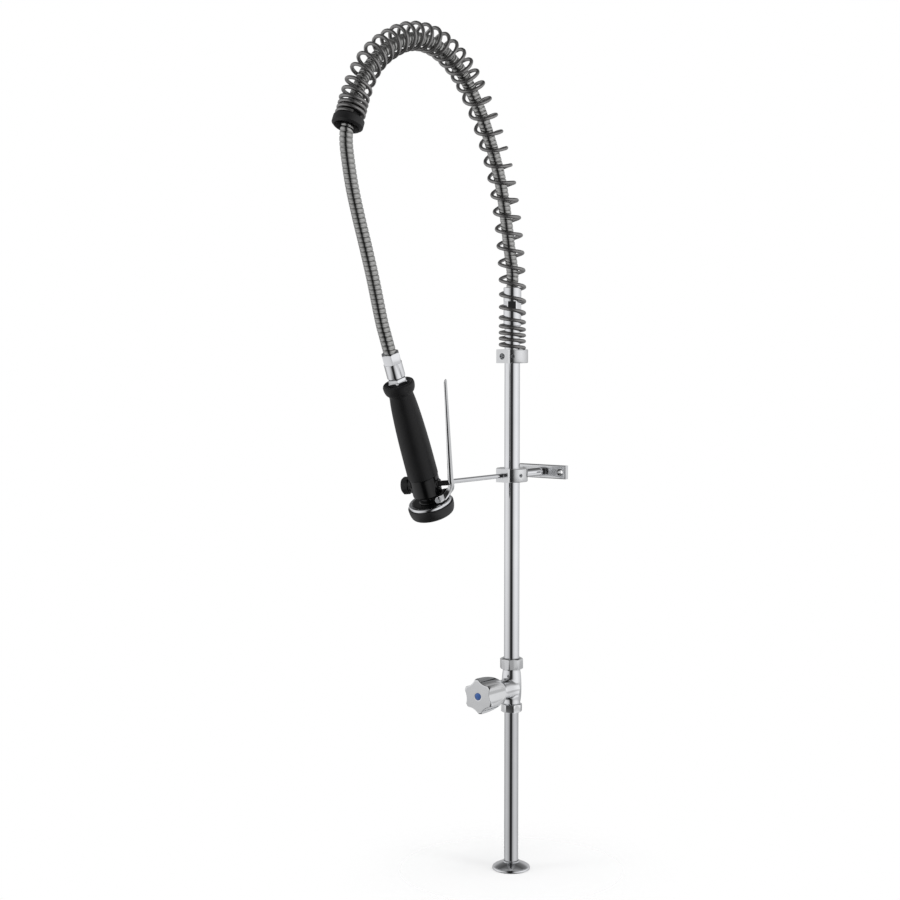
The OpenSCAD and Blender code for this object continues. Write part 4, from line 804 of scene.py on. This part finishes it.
# %% Draw the bore and join it to the wall
BORE_STEPS = 160
bore = set(bmesh.ops.create_circle(bm, segments=SIDES, radius=HOSE_BORE)["verts"])
front = [e for e in bm.edges if bore.issuperset(e.verts)]
mouth = front
for _ in range(BORE_STEPS):
    grown = bmesh.ops.extrude_edge_only(bm, edges=front)["geom"]
    bmesh.ops.translate(bm, vec=(0, 0, hose_route.length / BORE_STEPS),
        verts=[g for g in grown if isinstance(g, bmesh.types.BMVert)])
    front = [g for g in grown if isinstance(g, bmesh.types.BMEdge)]


def rim(z):
    """The open edges of the wall at one end of the hose."""
    return [e for e in bm.edges if e.is_boundary and all(abs(v.co.z - z) < 0.01 * mm
            and v.co.xy.length > HOSE_BORE * 1.05 for v in e.verts)]


for z, inner in ((0, mouth), (hose_route.length, front)):
    bmesh.ops.triangle_fill(bm, edges=rim(z) + list(inner), use_beauty=True)
print("hose faces with its bore:", len(bm.faces))

# %% Bend the hose along its route
for vert in bm.verts:
    along = hose_route.heading(vert.co.z)
    out = Vector((0, along.z, -along.y))
    vert.co = hose_route.at(vert.co.z) + vert.co.x * out + vert.co.y * Vector((1, 0, 0))
face_outwards(bm)
print("metal in the hose:", round(bm.calc_volume(signed=True) / (10 * mm) ** 3, 1), "cubic centimetres")
hose = stand_in(piece_from(bm, "hose_finished", 50), "hose")

# %% [markdown]
# ## The small return spring
#
# Behind the plunger's disc a small steel spring pushes the valve shut. It is wound from thinner wire by the
# same function.

# %% Wind the return spring
PLUNGER_HEIGHT, COILS, PER_COIL, COIL_R, COIL_WIRE = 40.4 * mm, 5, 24, 4.35 * mm, 1.1 * mm
COIL_TOP, COIL_LONG = -4.15 * mm, 19.7 * mm
PLUNGER_FRAME = (GUN_FRAME @ Matrix.Translation((0, 0, PLUNGER_HEIGHT))
                 @ Matrix.Rotation(LEVER_TURN, 4, "Z") @ Matrix.Rotation(QUARTER_TURN, 4, "Y"))


def coil_point(k):
    """The middle of the return spring's wire at one of its steps."""
    angle = math.tau * k / PER_COIL
    return PLUNGER_FRAME @ Vector((COIL_R * math.cos(angle), COIL_R * math.sin(angle),
        COIL_TOP - COIL_LONG * k / (COILS * PER_COIL)))


bm = wire_through([coil_point(k) for k in range(COILS * PER_COIL + 1)], COIL_WIRE / 2, 2)
return_spring = stand_in(piece_from(bm, "plunger_spring_finished", 50), "plunger_spring")
along = (PLUNGER_FRAME.to_3x3() @ Vector((0, 0, 1))).normalized()
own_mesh(return_spring)

# %% [markdown]
# ## Hidden parts
#
# Olives, washers, O-rings, the spindle and the piston sit inside. Their solids are right as they are, so
# they keep their meshes and only take the finish of what they are made of.

# %% Finish the solids that stay
kept = [node for node, obj in frame["nodes"].items() if not obj.hide_render]
for node in kept:
    mesh = frame["nodes"][node].data
    mesh.materials.clear()
    mesh.materials.append(FINISHES[slot_of[node]])
print("kept solids:", len(kept), ", ".join(sorted(kept)))

# %% [markdown]
# ## The last step
#
# The view keeps Blender's plain Standard transform, so that a colour shows as it is written. Every
# placement is brought up to date once more, now with every piece in place.

# %% Bring the scene up to date and finish
scene.view_settings.view_transform = "Standard"
write_sizes()
